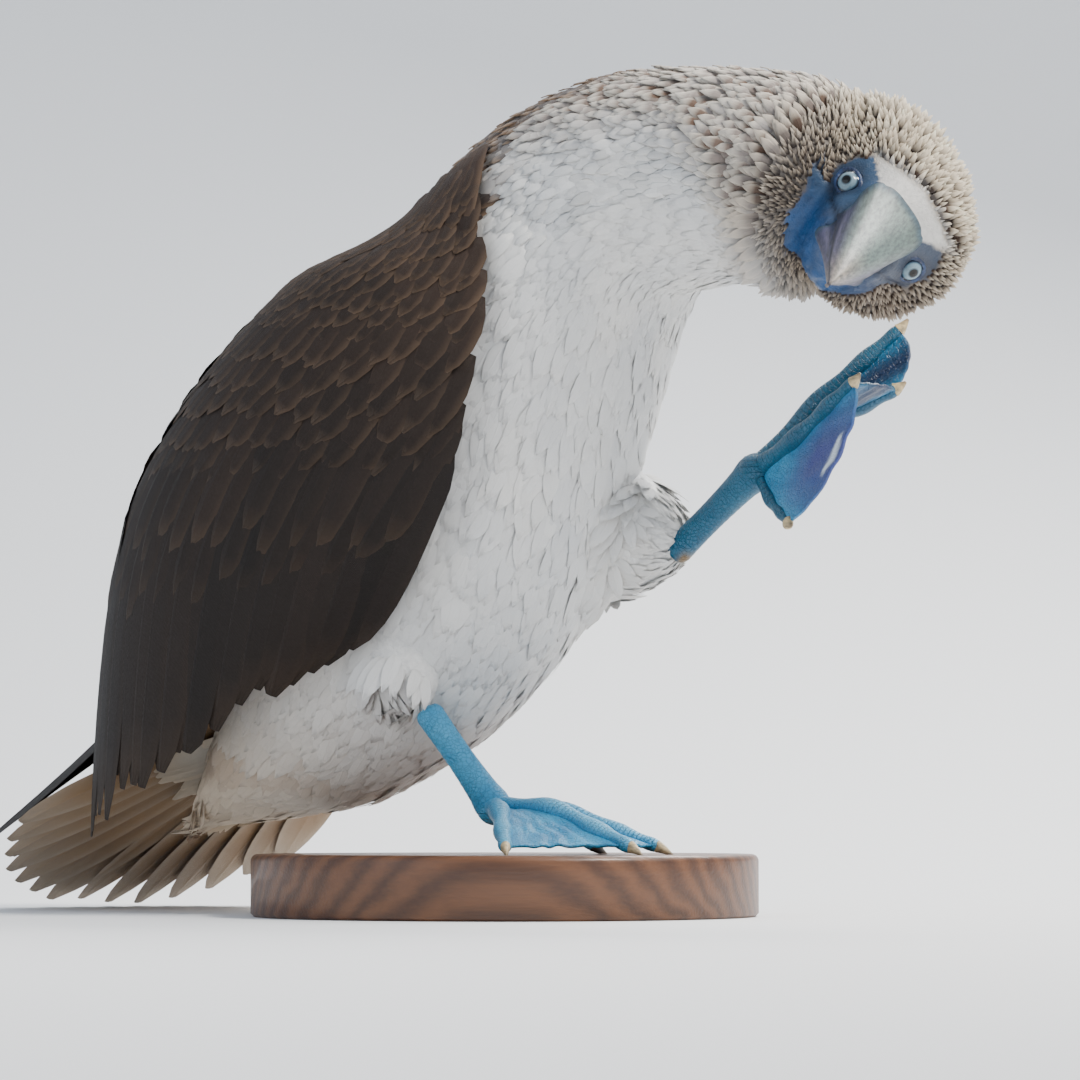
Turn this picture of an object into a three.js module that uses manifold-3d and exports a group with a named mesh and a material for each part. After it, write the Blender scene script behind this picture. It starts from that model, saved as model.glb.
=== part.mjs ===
// Blue-footed booby standing on its right leg on a round display base and scratching the left side of its
// head with its left foot, life size, as separate closed solids: torso, neck, head, bill, eyes, wings, tail,
// legs, webbed feet and claws.
//
// Millimetres, +Z up. The origin is the centre of the underside of the base. The bird's own frame has +X ahead,
// +Y to its left and +Z up, and is turned clockwise seen from above, so that the bird looks towards -Y.
import * as THREE from "three";
import { mergeVertices } from "three/addons/utils/BufferGeometryUtils.js";
import Module from "manifold-3d";

const wasm = await Module();
wasm.setup();

// Driving dimensions
const GAP = 0.3; // between neighbouring pieces
const BASE = { radius: 106, height: 26, edge: 3, sides: 48 };
const STANCE = { x: -4, y: 22, turn: -36 }; // where the bird's frame stands on the base, and its heading in degrees
const HEAD = { at: [200, -14, 275.6], turn: -62.4, tip: 14.6, roll: -55.8 }; // midway between the eyes, degrees
const EYE = { radius: 6.6, side: 19, ahead: 1, up: 0 };
const BILL = { root: 13, length: 106, width: 30, topRise: 13, mouth: -9.5, chin: -25 };
const SKULL = { back: -50, front: 20 };
const TAIL = { feathers: 12, hub: [-38, 0, 117], slope: 24.8, near: -15, far: 30, roll: 10, length: 264, outer: 210, root: 84 };
const WEB_THICK = 1.2;
const VANE_THICK = 0.8;

const rad = THREE.MathUtils.degToRad;
const lerp = THREE.MathUtils.lerp;
const vec = (x, y, z) => new THREE.Vector3(x, y, z);

// Materials
const finish = (color, roughness, metalness = 0) => new THREE.MeshStandardMaterial({ color, roughness, metalness });
const FINISH = {
  white: finish(0xdcdad2, 0.85),
  headStreak: finish(0xb49a82, 0.85),
  brown: finish(0x35291f, 0.8),
  tailBrown: finish(0x6b5540, 0.75),
  blue: finish(0x1f86b8, 0.5),
  bill: finish(0x8b9a98, 0.45),
  horn: finish(0xb8a077, 0.5),
  eye: finish(0xe6e2c8, 0.15),
  wood: finish(0x4a3020, 0.5),
};

// Closed meshes and solids

function geometryOf(points, triangles) {
  const geometry = new THREE.BufferGeometry();
  geometry.setAttribute("position", new THREE.Float32BufferAttribute(points.flatMap((p) => [p.x, p.y, p.z]), 3));
  geometry.setIndex(triangles);
  return geometry;
}

function solidOf(geometry) {
  const bare = geometry.clone();
  bare.deleteAttribute("normal");
  bare.deleteAttribute("uv");
  const merged = mergeVertices(bare, 1e-4);
  const build = (triVerts) =>
    new wasm.Manifold(
      new wasm.Mesh({ numProp: 3, vertProperties: merged.attributes.position.array, triVerts }),
    );
  const triangles = new Uint32Array(merged.index.array);
  const solid = build(triangles);
  if (solid.volume() > 0) return solid;
  for (let i = 0; i < triangles.length; i += 3)
    [triangles[i + 1], triangles[i + 2]] = [triangles[i + 2], triangles[i + 1]];
  return build(triangles);
}

// The largest closed surface of a solid, so that loose scraps and sealed hollows go.
function largest(solid) {
  return solid.decompose().reduce((best, one) => (one.volume() > best.volume() ? one : best));
}

const union = (solids) => solids.reduce((all, one) => all.add(one));

const moved = (solid, matrix) => solid.transform(matrix.elements);

function meshOf(name, solid, material) {
  const { numProp, numVert, vertProperties, triVerts } = largest(solid).getMesh();
  const points = Array.from({ length: numVert }, (_, i) =>
    vec(...vertProperties.subarray(i * numProp, i * numProp + 3)));
  const geometry = geometryOf(points, Array.from(triVerts)).toNonIndexed();
  geometry.computeVertexNormals();
  const mesh = new THREE.Mesh(geometry, material);
  mesh.name = name;
  return mesh;
}

// A closed skin over rings of equal count, with a fan at each end.
function ringSolid(rings) {
  const sides = rings[0].length;
  const points = rings.flat();
  const triangles = [];
  for (let i = 0; i + 1 < rings.length; i++)
    for (let j = 0; j < sides; j++) {
      const a = i * sides + j;
      const b = i * sides + ((j + 1) % sides);
      triangles.push(a, b, b + sides, a, b + sides, a + sides);
    }
  for (const [start, outward] of [[0, false], [(rings.length - 1) * sides, true]]) {
    const centre = vec(0, 0, 0);
    for (let j = 0; j < sides; j++) centre.addScaledVector(points[start + j], 1 / sides);
    const hub = points.push(centre) - 1;
    for (let j = 0; j < sides; j++) {
      const [a, b] = [start + j, start + ((j + 1) % sides)];
      triangles.push(...(outward ? [hub, a, b] : [hub, b, a]));
    }
  }
  return solidOf(geometryOf(points, triangles));
}

// A thin closed plate between two faces point(s, t, 0) and point(s, t, 1), both split into triangles alike.
function plateSolid(point, along, across) {
  const points = [];
  const index = (face, i, j) => (face * (along + 1) + i) * (across + 1) + j;
  for (const face of [0, 1])
    for (let i = 0; i <= along; i++)
      for (let j = 0; j <= across; j++) points.push(point(i / along, j / across, face));
  const triangles = [];
  for (let i = 0; i < along; i++)
    for (let j = 0; j < across; j++) {
      const [a, b, c, d] = [index(0, i, j), index(0, i + 1, j), index(0, i + 1, j + 1), index(0, i, j + 1)];
      const up = (along + 1) * (across + 1);
      triangles.push(a, c, b, a, d, c, a + up, b + up, c + up, a + up, c + up, d + up);
    }
  const wall = (i0, j0, i1, j1) => {
    const [a, b, c, d] = [index(0, i0, j0), index(0, i1, j1), index(1, i1, j1), index(1, i0, j0)];
    triangles.push(a, b, c, a, c, d);
  };
  for (let i = 0; i < along; i++) {
    wall(i, 0, i + 1, 0);
    wall(i + 1, across, i, across);
  }
  for (let j = 0; j < across; j++) {
    wall(0, j + 1, 0, j);
    wall(along, j, along, j + 1);
  }
  return solidOf(geometryOf(points, triangles));
}

// A smooth curve through rows of numbers, as a function of 0 to 1.
function through(rows) {
  const curves = [];
  for (let k = 0; k < rows[0].length; k += 3)
    curves.push(new THREE.CatmullRomCurve3(rows.map((r) => vec(r[k], r[k + 1] ?? 0, r[k + 2] ?? 0)), false, "catmullrom", 0.5));
  return (u) => curves.flatMap((c) => c.getPoint(THREE.MathUtils.clamp(u, 0, 1)).toArray());
}

// A tube of round section along points, with a radius for each share of its length.
function tubeSolid(path, radius, { steps = 8, sides = 8, flat = 1, grow = 0 } = {}) {
  const curve = new THREE.CatmullRomCurve3(path);
  const side = vec(0, 1, 0);
  const rings = [];
  for (let i = 0; i <= steps; i++) {
    const u = i / steps;
    const forward = curve.getTangent(u);
    const across = side.clone().addScaledVector(forward, -side.dot(forward)).normalize();
    const up = forward.clone().cross(across);
    const r = radius(u) + grow;
    rings.push(Array.from({ length: sides }, (_, j) => {
      const angle = (2 * Math.PI * (j + 0.5)) / sides;
      return curve.getPoint(u).addScaledVector(across, r * flat * Math.cos(angle)).addScaledVector(up, r * Math.sin(angle));
    }));
  }
  return ringSolid(rings);
}

// An ellipsoid with its poles ahead and behind.
function ballSolid(centre, size, sides = 16) {
  const geometry = new THREE.SphereGeometry(1, sides, sides / 2).rotateZ(Math.PI / 2);
  geometry.scale(...size).translate(...centre);
  return solidOf(geometry);
}

// A box, for thin cuts.
function boxSolid(low, high) {
  const size = high.map((h, i) => h - low[i]);
  const geometry = new THREE.BoxGeometry(...size);
  geometry.translate(...low.map((l, i) => l + size[i] / 2));
  return solidOf(geometry);
}

// Trunk: from the tail coverts along the spine to the head. Each row has the middle's x and z, then the reach
// towards the back, the front and each side.
const TRUNK = [
  [-160, 40, 3, 4, 9],
  [-146, 47, 10, 10, 24],
  [-124, 63, 22, 27, 38],
  [-96, 88, 40, 53, 50],
  [-69, 122, 54, 76, 60],
  [-42, 164, 60, 89, 66],
  [-16, 206, 64, 84, 68],
  [12, 245, 67, 70, 67],
  [41, 277, 68, 56, 62],
  [72, 297, 61, 46, 53],
  [105, 303, 53, 45, 48],
  [134, 303, 49, 45, 46],
  [160, 298, 45, 45, 42],
  [180, 291, 30, 26, 29],
];
const spine = new THREE.CatmullRomCurve3(TRUNK.map(([x, z]) => vec(x, 0, z)));
const girth = new THREE.CatmullRomCurve3(TRUNK.map(([, , back, front, side]) => vec(back, front, side)));

function trunkSolid(grow) {
  const [steps, sides] = [25, 22];
  const rings = [];
  for (let i = 0; i <= steps; i++) {
    const u = i / steps;
    const middle = spine.getPoint(u);
    const ahead = spine.getTangent(u);
    const front = vec(ahead.z, 0, -ahead.x);
    const { x: back, y: belly, z: side } = girth.getPoint(u);
    rings.push(Array.from({ length: sides }, (_, j) => {
      const angle = (2 * Math.PI * j) / sides;
      const reach = Math.cos(angle) > 0 ? belly : back;
      return middle.clone()
        .addScaledVector(front, (reach + grow) * Math.cos(angle))
        .addScaledVector(vec(0, 1, 0), (side + grow) * Math.sin(angle));
    }));
  }
  return ringSolid(rings);
}

// The point of the trunk's skin nearest to p, roughly, and how far p lies outside it.
const spineMarks = Array.from({ length: 61 }, (_, i) => i / 60);

function trunkNear(p) {
  const gapAt = (u) => Math.hypot(spine.getPoint(u).x - p.x, spine.getPoint(u).z - p.z);
  const u = spineMarks.reduce((best, one) => (gapAt(one) < gapAt(best) ? one : best));
  const middle = spine.getPoint(u);
  const ahead = spine.getTangent(u);
  const front = vec(ahead.z, 0, -ahead.x);
  const { x: back, y: belly, z: side } = girth.getPoint(u);
  const out = p.clone().sub(middle);
  const over = Math.hypot(out.dot(front) / (out.dot(front) > 0 ? belly : back), out.y / side);
  const onSkin = middle.addScaledVector(out, 1 / over);
  return { onSkin, gap: p.distanceTo(onSkin) * Math.sign(over - 1) };
}

// p itself, or the point this far outside the trunk that it is pushed out to.
function clearOfTrunk(p, margin) {
  const { onSkin, gap } = trunkNear(p);
  if (gap >= margin) return p;
  const outward = p.clone().sub(onSkin).multiplyScalar(Math.sign(gap) || 1).normalize();
  return onSkin.addScaledVector(outward, margin);
}

// Thin slabs square to the spine that part the trunk: its middle at a share of the spine, and everything past it.
function pastSpine(u, shift) {
  const middle = spine.getPoint(u);
  const ahead = spine.getTangent(u);
  const place = new THREE.Matrix4()
    .makeTranslation(middle.x, 0, middle.z)
    .multiply(new THREE.Matrix4().makeRotationY(-Math.atan2(ahead.z, ahead.x)));
  const reach = 400;
  return moved(boxSolid([shift, -reach, -reach], [reach, reach, reach]), place);
}

const CUTS = { tail: 0.135, neck: 0.67 };
const trunk = trunkSolid(0);
const trunkGrown = trunkSolid(GAP);

// Head, in its own frame: +X along the bill, +Y to its left, +Z to the crown, from midway between the eyes.

const headPlace = new THREE.Matrix4().compose(
  vec(...HEAD.at),
  new THREE.Quaternion().setFromEuler(new THREE.Euler(rad(HEAD.roll), rad(HEAD.tip), rad(HEAD.turn), "ZYX")),
  vec(1, 1, 1),
);

// Rows along the skull: distance ahead, the middle's side and height, and the reach up, down and to each side.
const SKULL_ROWS = [
  [SKULL.back, -14, 6, 9, 9, 9],
  [-47, -14, 6, 23, 20, 24],
  [-38, -12, 5, 32, 29, 33],
  [-23, -6, 2.5, 33.5, 34, 34],
  [-10, -1, -0.5, 30, 33, 31],
  [0, 0, -2, 24.5, 31, 23],
  [8, 0, -4, 19, 25, 20],
  [SKULL.front - 5, 0, -5.5, 17, 19.5, 16],
];
const skullRow = through(SKULL_ROWS);

function skullSolid(grow) {
  const [steps, sides] = [11, 18];
  const rings = [];
  for (let i = 0; i <= steps; i++) {
    const [x, y, z, up, down, side] = skullRow(i / steps);
    rings.push(Array.from({ length: sides }, (_, j) => {
      const angle = (2 * Math.PI * j) / sides;
      const tall = (Math.sin(angle) > 0 ? up : down) + grow;
      return vec(x, y + (side + grow) * Math.cos(angle), z + tall * Math.sin(angle));
    }));
  }
  return ringSolid(rings);
}

const skullGrown = skullSolid(GAP);

// One flat tapered lock or small feather: a bent plate from a root point along a lie, lifted off the surface.
function lockSolid(root, outward, lie, { length, width, lift, thick, sink }) {
  const across = outward.clone().cross(lie).normalize();
  const taper = (s) => (s < 0.35 ? 1 : Math.sqrt(Math.max(0.02, (1 - s) / 0.65)));
  return plateSolid((s, t, face) =>
    root.clone()
      .addScaledVector(outward, -sink + (sink + lift) * s * (1.6 - 0.6 * s) + (face - 0.5) * thick * (1 - 0.4 * s))
      .addScaledVector(lie, length * s)
      .addScaledVector(across, width * (t - 0.5) * taper(s)), 2, 1);
}

const roll = (seed) => {
  let state = seed;
  return () => {
    state = (state * 1664525 + 1013904223) % 4294967296;
    return state / 4294967296;
  };
};

// Spiky feathers over the crown, cheeks and nape, in rings from the face backwards.
function headLocks() {
  const random = roll(7);
  const neckHere = moved(trunkSolid(3), headPlace.clone().invert());
  const locks = [];
  const ringShares = [0.79, 0.68, 0.57, 0.46, 0.35, 0.24];
  ringShares.forEach((u, row) => {
    const [x, y, z, up, down, side] = skullRow(u);
    const [xNext] = skullRow(u - 0.02);
    const count = Math.round((Math.PI * (up + down + 2 * side)) / 2 / 13);
    for (let k = 0; k < count; k++) {
      const angle = (2 * Math.PI * (k + 0.5 * (row % 2) + 0.3 * (random() - 0.5))) / count;
      const tall = Math.sin(angle) > 0 ? up : down;
      const root = vec(x, y + side * Math.cos(angle), z + tall * Math.sin(angle));
      const outward = vec(row > 3 ? -0.25 * (row - 3) : 0.25, Math.cos(angle) / side, Math.sin(angle) / tall)
        .setX((row > 3 ? -0.018 : 0.004) * (row > 3 ? row - 3 : 1)).normalize();
      const back = vec(xNext - x, 0, 0).setX(-1);
      const lie = back.addScaledVector(outward, -back.dot(outward)).normalize();
      const length = lerp(7.5, 11, random()) * (row === 0 ? 0.65 : 1);
      const lock = lockSolid(root, outward, lie, { length, width: 8.6, lift: row === 0 ? 3.5 : 7, thick: 1.5, sink: 3 });
      if (lock.intersect(neckHere).volume() < 0.01) locks.push(lock);
    }
  });
  return locks;
}

function eyeCentre(sign) {
  return [EYE.ahead, sign * EYE.side, EYE.up];
}

function headSolid() {
  const lids = [-1, 1].map((sign) => {
    const ring = new THREE.TorusGeometry(EYE.radius + 0.9, 1.7, 5, 14);
    const facing = new THREE.Quaternion().setFromUnitVectors(vec(0, 0, 1), vec(0.62, sign * 0.78, 0.05).normalize());
    const centre = vec(...eyeCentre(sign)).add(vec(1.6, sign * 2.4, 0.1));
    return moved(solidOf(ring), new THREE.Matrix4().compose(centre, facing, vec(1, 1, 1)));
  });
  let head = union([skullSolid(0), ...lids, ...headLocks()]);
  for (const sign of [-1, 1]) {
    head = head.subtract(ballSolid(eyeCentre(sign), Array(3).fill(EYE.radius + GAP), 14));
    const gape = sign > 0 ? [[-12, 13.5, BILL.mouth - 0.5], [30, 40, BILL.mouth + 0.5]] : [[-12, -40, BILL.mouth - 0.5], [30, -13.5, BILL.mouth + 0.5]];
    head = head.subtract(boxSolid(...gape));
  }
  return head.subtract(boxSolid([BILL.root, -60, -60], [60, 60, 60]));
}

// Bill halves: half rings from the root to the tip, above or below the mouth line.
function billSolid(upper) {
  const steps = 10;
  const ends = 8;
  const reach = BILL.length * (upper ? 1 : 0.965);
  const rings = [];
  for (let i = 0; i <= steps; i++) {
    const u = i / steps;
    const along = (u * reach) / BILL.length;
    const half = Math.max(0.7, (BILL.width / 2) * Math.pow(1 - u, 0.82) * (upper ? 1 : 0.9));
    const mouth = BILL.mouth - 4.2 * along * along;
    const hook = upper ? 1.6 * Math.max(0, (along - 0.97) / 0.03) : 0;
    const edge = mouth + (upper ? -hook : -GAP - 0.9);
    const above = (BILL.topRise - BILL.mouth) * Math.pow(1 - u, 0.75) + 1.6 + hook;
    const below = (BILL.chin - BILL.mouth) * 0.78 * Math.pow(1 - u, 0.9) - 1.2;
    const x = BILL.root + GAP + u * reach;
    rings.push(Array.from({ length: ends + 1 }, (_, j) => {
      const angle = (Math.PI * j) / ends;
      const rise = j % ends ? Math.pow(Math.sin(angle), 0.85) : 0;
      return vec(x, half * Math.cos(angle), edge + (upper ? above : below) * rise);
    }));
  }
  return ringSolid(rings);
}

// Wings: a curved sheet over the flank, from the shoulder line (a = 0) to the feather tips (a = 1) and from the
// leading edge (b = 0) round to the middle of the back (b = 1). Each row has the front edge's x, side and z, the
// back edge's x, side and z, then how far the sheet swells outwards.
const WING_ROWS = [
  [28, 48, 331, -40, 18, 322, 14],
  [44, 68, 262, -78, 20, 266, 28],
  [38, 75, 214, -140, 20, 213, 33],
  [12, 73, 165, -174, 22, 146, 34],
  [-32, 61, 112, -187, 32, 22, 27],
];
const WING_RISE = 55; // of the inmost tips over the tail
const wingRow = through(WING_ROWS.map((r) => [...r, 0, 0]));

// start: the share of the way round from where the tips rise to lie over the tail.
const wingOf = (start) => {
  const sheet = (a, b) => {
    const [xf, yf, zf, xb, yb, zb, swell] = wingRow(a);
    const turn = Math.sin((b * Math.PI) / 2);
    const round = 1 - Math.cos((b * Math.PI) / 2);
    const rise = WING_RISE * Math.pow(a, 3) * THREE.MathUtils.smoothstep(b, start, 1);
    const out = 0.75 * swell * Math.sin(Math.PI * Math.pow(Math.max(0, b), 0.9));
    return clearOfTrunk(vec(lerp(xf, xb, turn), lerp(yf, yb, round) + out, lerp(zf, zb, turn) + rise), 7);
  };
  const normal = (a, b) => {
    const step = 0.01;
    const [a0, b0] = [THREE.MathUtils.clamp(a, step, 1 - step), THREE.MathUtils.clamp(b, step, 1 - step)];
    const down = sheet(a0 + step, b0).sub(sheet(a0 - step, b0));
    const back = sheet(a0, b0 + step).sub(sheet(a0, b0 - step));
    return down.cross(back).normalize();
  };
  return { sheet, normal };
};

// Feather tiers of the wing: how many, where they start and end along the sheet, their width, and the segments.
const WING_TIERS = [
  { count: 6, root: 0.06, tip: 0.3, width: 40, segments: 2 },
  { count: 7, root: 0.24, tip: 0.6, width: 42, segments: 3 },
  { count: 10, root: 0.5, tip: 1, width: 31, segments: 4 },
];

// A vane keeps its width nearly to the end, which is round.
const tipwards = (s) => 1 - Math.pow(1 - s, 1.7);
const roundEnd = (s, from) => (s < from ? 1 : Math.sqrt(Math.max(0.14, 1 - Math.pow((s - from) / (1 - from), 2))));

function wingVanes({ sheet, normal }) {
  return WING_TIERS.flatMap(({ count, root, tip, width, segments }, tier) =>
    Array.from({ length: count }, (_, k) => {
      const b = lerp(0.02, 0.98, (k + 0.5 + 0.3 * (tier % 2) - 0.15) / count);
      const end = tip + (tier === 2 ? 0.03 * Math.sin(Math.PI * b) - 0.02 : 0.012 * Math.sin(2.3 * k));
      const middle = 0.5 * (root + end);
      const perTurn = sheet(middle, b + 0.02).distanceTo(sheet(middle, b - 0.02)) / 0.04;
      return plateSolid((s, t, face) => {
        const reach = tipwards(s);
        const a = lerp(root, end, reach);
        const side = 2 * t - 1;
        const bb = THREE.MathUtils.clamp(b + (side * width * roundEnd(reach, 0.75)) / 2 / perTurn, -0.02, 1.02);
        const rise = s < 0.001 ? -5 : 0.4 + 3 * reach - 1.4 * side;
        return sheet(a, bb).addScaledVector(normal(a, b), rise + face * VANE_THICK);
      }, segments, 1);
    }));
}

// The long wing tip past the secondaries: primaries laid like a closed fan, in the wing's right-hand frame.
function primaries() {
  const count = 5;
  return Array.from({ length: count }, (_, k) => {
    const share = k / (count - 1);
    const path = new THREE.CatmullRomCurve3([
      vec(-62 - 4 * share, 80 - 4 * share, 205),
      vec(-110 - 5 * share, 66 - 8 * share, 148),
      vec(-152, 52 - 16 * share, 93 + 5 * share),
      vec(-205 + 10 * share, 38 - 12 * share, 59 + 6 * share),
      vec(-286 + 46 * share, 17 + 3 * share, 18 + 22 * share),
    ]);
    return plateSolid((s, t, face) => {
      const reach = tipwards(s);
      const middle = path.getPoint(reach);
      const along = path.getTangent(reach);
      const up = vec(-0.25, 0.62, 0.74).addScaledVector(along, -along.dot(vec(-0.25, 0.62, 0.74))).normalize();
      const across = along.clone().cross(up);
      const half = 11.5 * roundEnd(reach, 0.7);
      return middle.addScaledVector(across, half * (2 * t - 1)).addScaledVector(up, share * 5.6 + face * VANE_THICK);
    }, 4, 1);
  });
}

// The arm and the bed of the feathers: a shell under them that follows the trunk inside.
function wingBed({ sheet, normal }) {
  const [last, thickest] = [0.62, 15];
  return plateSolid((s, t, face) => {
    const a = lerp(0.005, last, s);
    const skin = sheet(a, t).addScaledVector(normal(a, t), -3);
    const { onSkin, gap } = trunkNear(skin);
    return face ? skin : skin.lerp(onSkin, (Math.min(gap, thickest) - 1.8) / gap);
  }, 7, 8);
}

// The room the tail feathers take up, a little over their thickness.
function tailRoom() {
  const hub = vec(...TAIL.hub);
  const edge = 8;
  return plateSolid((s, t, face) => {
    const angle = rad(lerp(TAIL.near - edge, TAIL.far + edge, t));
    return hub.clone()
      .addScaledVector(tailAlong, Math.cos(angle) * lerp(40, 300, s))
      .addScaledVector(tailAcross, Math.sin(angle) * lerp(40, 300, s))
      .addScaledVector(tailUp, lerp(-4.5, 4.5, face));
  }, 1, 4);
}

function wingSolid({ side, start, setBack }, thighRoom) {
  const wing = wingOf(start);
  const place = new THREE.Matrix4().makeTranslation(-setBack, 0, 0).scale(vec(1, side, 1));
  const whole = moved(union([wingBed(wing), ...wingVanes(wing), ...primaries()]), place);
  return whole.subtract(trunkGrown).subtract(tailRoom()).subtract(thighRoom);
}

// Tail: a fan of long feathers whose lines meet at a hub inside the belly, rooted in the tail coverts.
const tailDown = rad(TAIL.slope);
const tailAlong = vec(-Math.cos(tailDown), 0, -Math.sin(tailDown));
const tailAcross = vec(0, Math.cos(rad(TAIL.roll)), -Math.sin(rad(TAIL.roll)));
const tailUp = tailAcross.clone().cross(tailAlong).normalize();

function tailVanes() {
  const hub = vec(...TAIL.hub);
  return Array.from({ length: TAIL.feathers }, (_, k) => {
    const share = (2 * k) / (TAIL.feathers - 1) - 1;
    const angle = rad(lerp(TAIL.near, TAIL.far, (share + 1) / 2));
    const along = tailAlong.clone().multiplyScalar(Math.cos(angle)).addScaledVector(tailAcross, Math.sin(angle)).normalize();
    const across = tailUp.clone().cross(along).normalize();
    const length = lerp(TAIL.length, TAIL.outer, share * share);
    const level = (Math.abs(share) - 0.5) * -2.6;
    return plateSolid((s, t, face) => {
      const part = tipwards(s);
      const reach = lerp(TAIL.root, length, part);
      const half = 12.5 * Math.min(0.45 + part * 1.1, 1) * roundEnd(part, 0.8);
      const cant = 0.075 * (2 * t - 1) * half * (share < 0 ? 1 : -1);
      return hub.clone()
        .addScaledVector(along, reach)
        .addScaledVector(across, half * (2 * t - 1))
        .addScaledVector(tailUp, level + cant + face * VANE_THICK);
    }, 4, 1);
  });
}

// Legs and feet. A foot is toes as tapered tubes and webs between them, from a hub where the toes meet.

function toePath({ hub, tip, knuckle }) {
  const [a, b] = [vec(...hub), vec(...tip)];
  const middle = a.clone().lerp(b, 0.42);
  middle.z += knuckle;
  const late = a.clone().lerp(b, 0.75);
  late.z += knuckle * 0.45;
  return [a, middle, late, b];
}

const toeRadius = (root, end) => (u) =>
  lerp(root, end, u) * (1 + 0.12 * Math.cos(u * Math.PI * 6));

// A point along a curve, carried on straight past its end.
const pointAlong = (curve, share) =>
  curve.getPoint(Math.min(share, 1)).addScaledVector(curve.getTangent(1), Math.max(share - 1, 0) * curve.getLength());

function webSolid(first, second, notch) {
  const [a, b] = [first, second].map((toe) => new THREE.CatmullRomCurve3(toePath(toe)));
  const lift = (k) => vec(0, 0, k);
  return plateSolid((s, t, face) => {
    const reach = (0.97 - notch * 4 * t * (1 - t)) * s;
    const point = pointAlong(a, reach).lerp(pointAlong(b, reach), t);
    const normal = b.getPoint(0.8).sub(a.getPoint(0)).cross(a.getPoint(0.8).sub(a.getPoint(0))).normalize();
    const sag = -2.2 * Math.sin(Math.PI * t) * s;
    return point.add(lift(sag)).addScaledVector(normal, (face - 0.5) * WEB_THICK);
  }, 4, 3);
}

const toeSolid = (toe, grow = 0) => tubeSolid(toePath(toe), toeRadius(toe.root ?? 4.6, 2.9), { steps: 6, sides: 6, grow });

function footSolid({ hub, hubRadius, toes, notches }, grow = 0) {
  const list = toes.map((toe) => ({ ...toe, hub }));
  const webs = grow ? [] : notches.map((notch, k) => webSolid(list[k], list[k + 1], notch));
  const ball = ballSolid(hub, [hubRadius * 1.05, hubRadius, hubRadius * 0.95].map((r) => r + grow), 12);
  return union([ball, ...list.map((toe) => toeSolid(toe, grow)), ...webs]);
}

// A claw that carries on from a toe's end, bending down.
function clawSolid(toe, { length = 9, curl = -4 }) {
  const curve = new THREE.CatmullRomCurve3(toePath(toe));
  const start = curve.getPoint(1);
  const along = curve.getTangent(1);
  const at = (d, drop) => start.clone().addScaledVector(along, d).add(vec(0, 0, drop));
  const path = [at(-0.5, 0), at(length * 0.5, curl * 0.2), at(length, curl)];
  return tubeSolid(path, (u) => 2.5 * (1 - 0.86 * u), { steps: 4, sides: 7 }).subtract(toeSolid(toe, GAP));
}

const floorTop = BASE.height + GAP;

// The standing foot, in the bird's frame, and the raised one. Toes run outer, middle, inner, hind.
const world = (x, y, z) => vec(x - STANCE.x, y - STANCE.y, z).applyAxisAngle(vec(0, 0, 1), rad(-STANCE.turn)).toArray();
const STANDING = {
  ankle: [-7.2, -40, 87],
  hub: [13, -18, 45],
  hubRadius: 7.6,
  toes: [
    { tip: world(1, -86, floorTop + 2.5), knuckle: 5 },
    { tip: world(52, -78, floorTop + 2.5), knuckle: 6, root: 4.9 },
    { tip: world(64, -38, floorTop + 2.5), knuckle: 5 },
    { tip: world(38, 2, floorTop + 2.4), knuckle: 3, root: 3.8 },
  ],
  notches: [0.13, 0.12, 0.2],
};
const RAISED = {
  ankle: [73.4, 25, 150.7],
  hub: [114.8, 27, 185],
  hubRadius: 7.6,
  toes: [
    { tip: [168, 52, 237], knuckle: 3 },
    { tip: [176, 43, 222], knuckle: 5, root: 4.9 },
    { tip: [173, 9, 214], knuckle: -2 },
    { tip: [143, 6, 163], knuckle: -3, root: 3.8 },
  ],
  notches: [-0.02, -0.08, -0.12],
};

function thighTube(path, radius, grow = 0) {
  return tubeSolid(path.map((p) => vec(...p)), radius, { steps: 8, sides: 14, grow });
}

function legSolids(leg, thighPath, thighRadius) {
  const shankRadius = (u) => lerp(6.6, 5.8, Math.sin(Math.PI * u)) + 1.2 * u * u;
  const path = [vec(...leg.ankle), vec(...leg.ankle).lerp(vec(...leg.hub), 0.5), vec(...leg.hub)];
  const foot = footSolid(leg);
  const shankWith = (grow) => tubeSolid(path, shankRadius, { steps: 6, sides: 10, flat: 0.82, grow });
  const shank = shankWith(0).subtract(footSolid(leg, GAP + 0.1));
  const thigh = thighTube(thighPath, thighRadius)
    .subtract(shankWith(GAP + 0.1))
    .subtract(trunkGrown);
  return { foot, shank, thigh };
}

// Assembly

const part = new THREE.Group();
const bird = new THREE.Group();
bird.position.set(STANCE.x, STANCE.y, 0);
bird.rotation.z = rad(STANCE.turn);
part.add(bird);

const baseProfile = [
  [0, 0], [BASE.radius, 0], [BASE.radius, BASE.height - BASE.edge], [BASE.radius - BASE.edge, BASE.height], [0, BASE.height],
].map(([r, z]) => new THREE.Vector2(r, z));
const baseShape = new THREE.LatheGeometry(baseProfile, BASE.sides).rotateX(Math.PI / 2);
part.add(meshOf("stand_base", solidOf(baseShape), FINISH.wood));

const tailPart = trunk.subtract(pastSpine(CUTS.tail, 0));
const neckPart = trunk.intersect(pastSpine(CUTS.neck, GAP));
const torsoPart = trunk.intersect(pastSpine(CUTS.tail, GAP)).subtract(pastSpine(CUTS.neck, 0));

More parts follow.
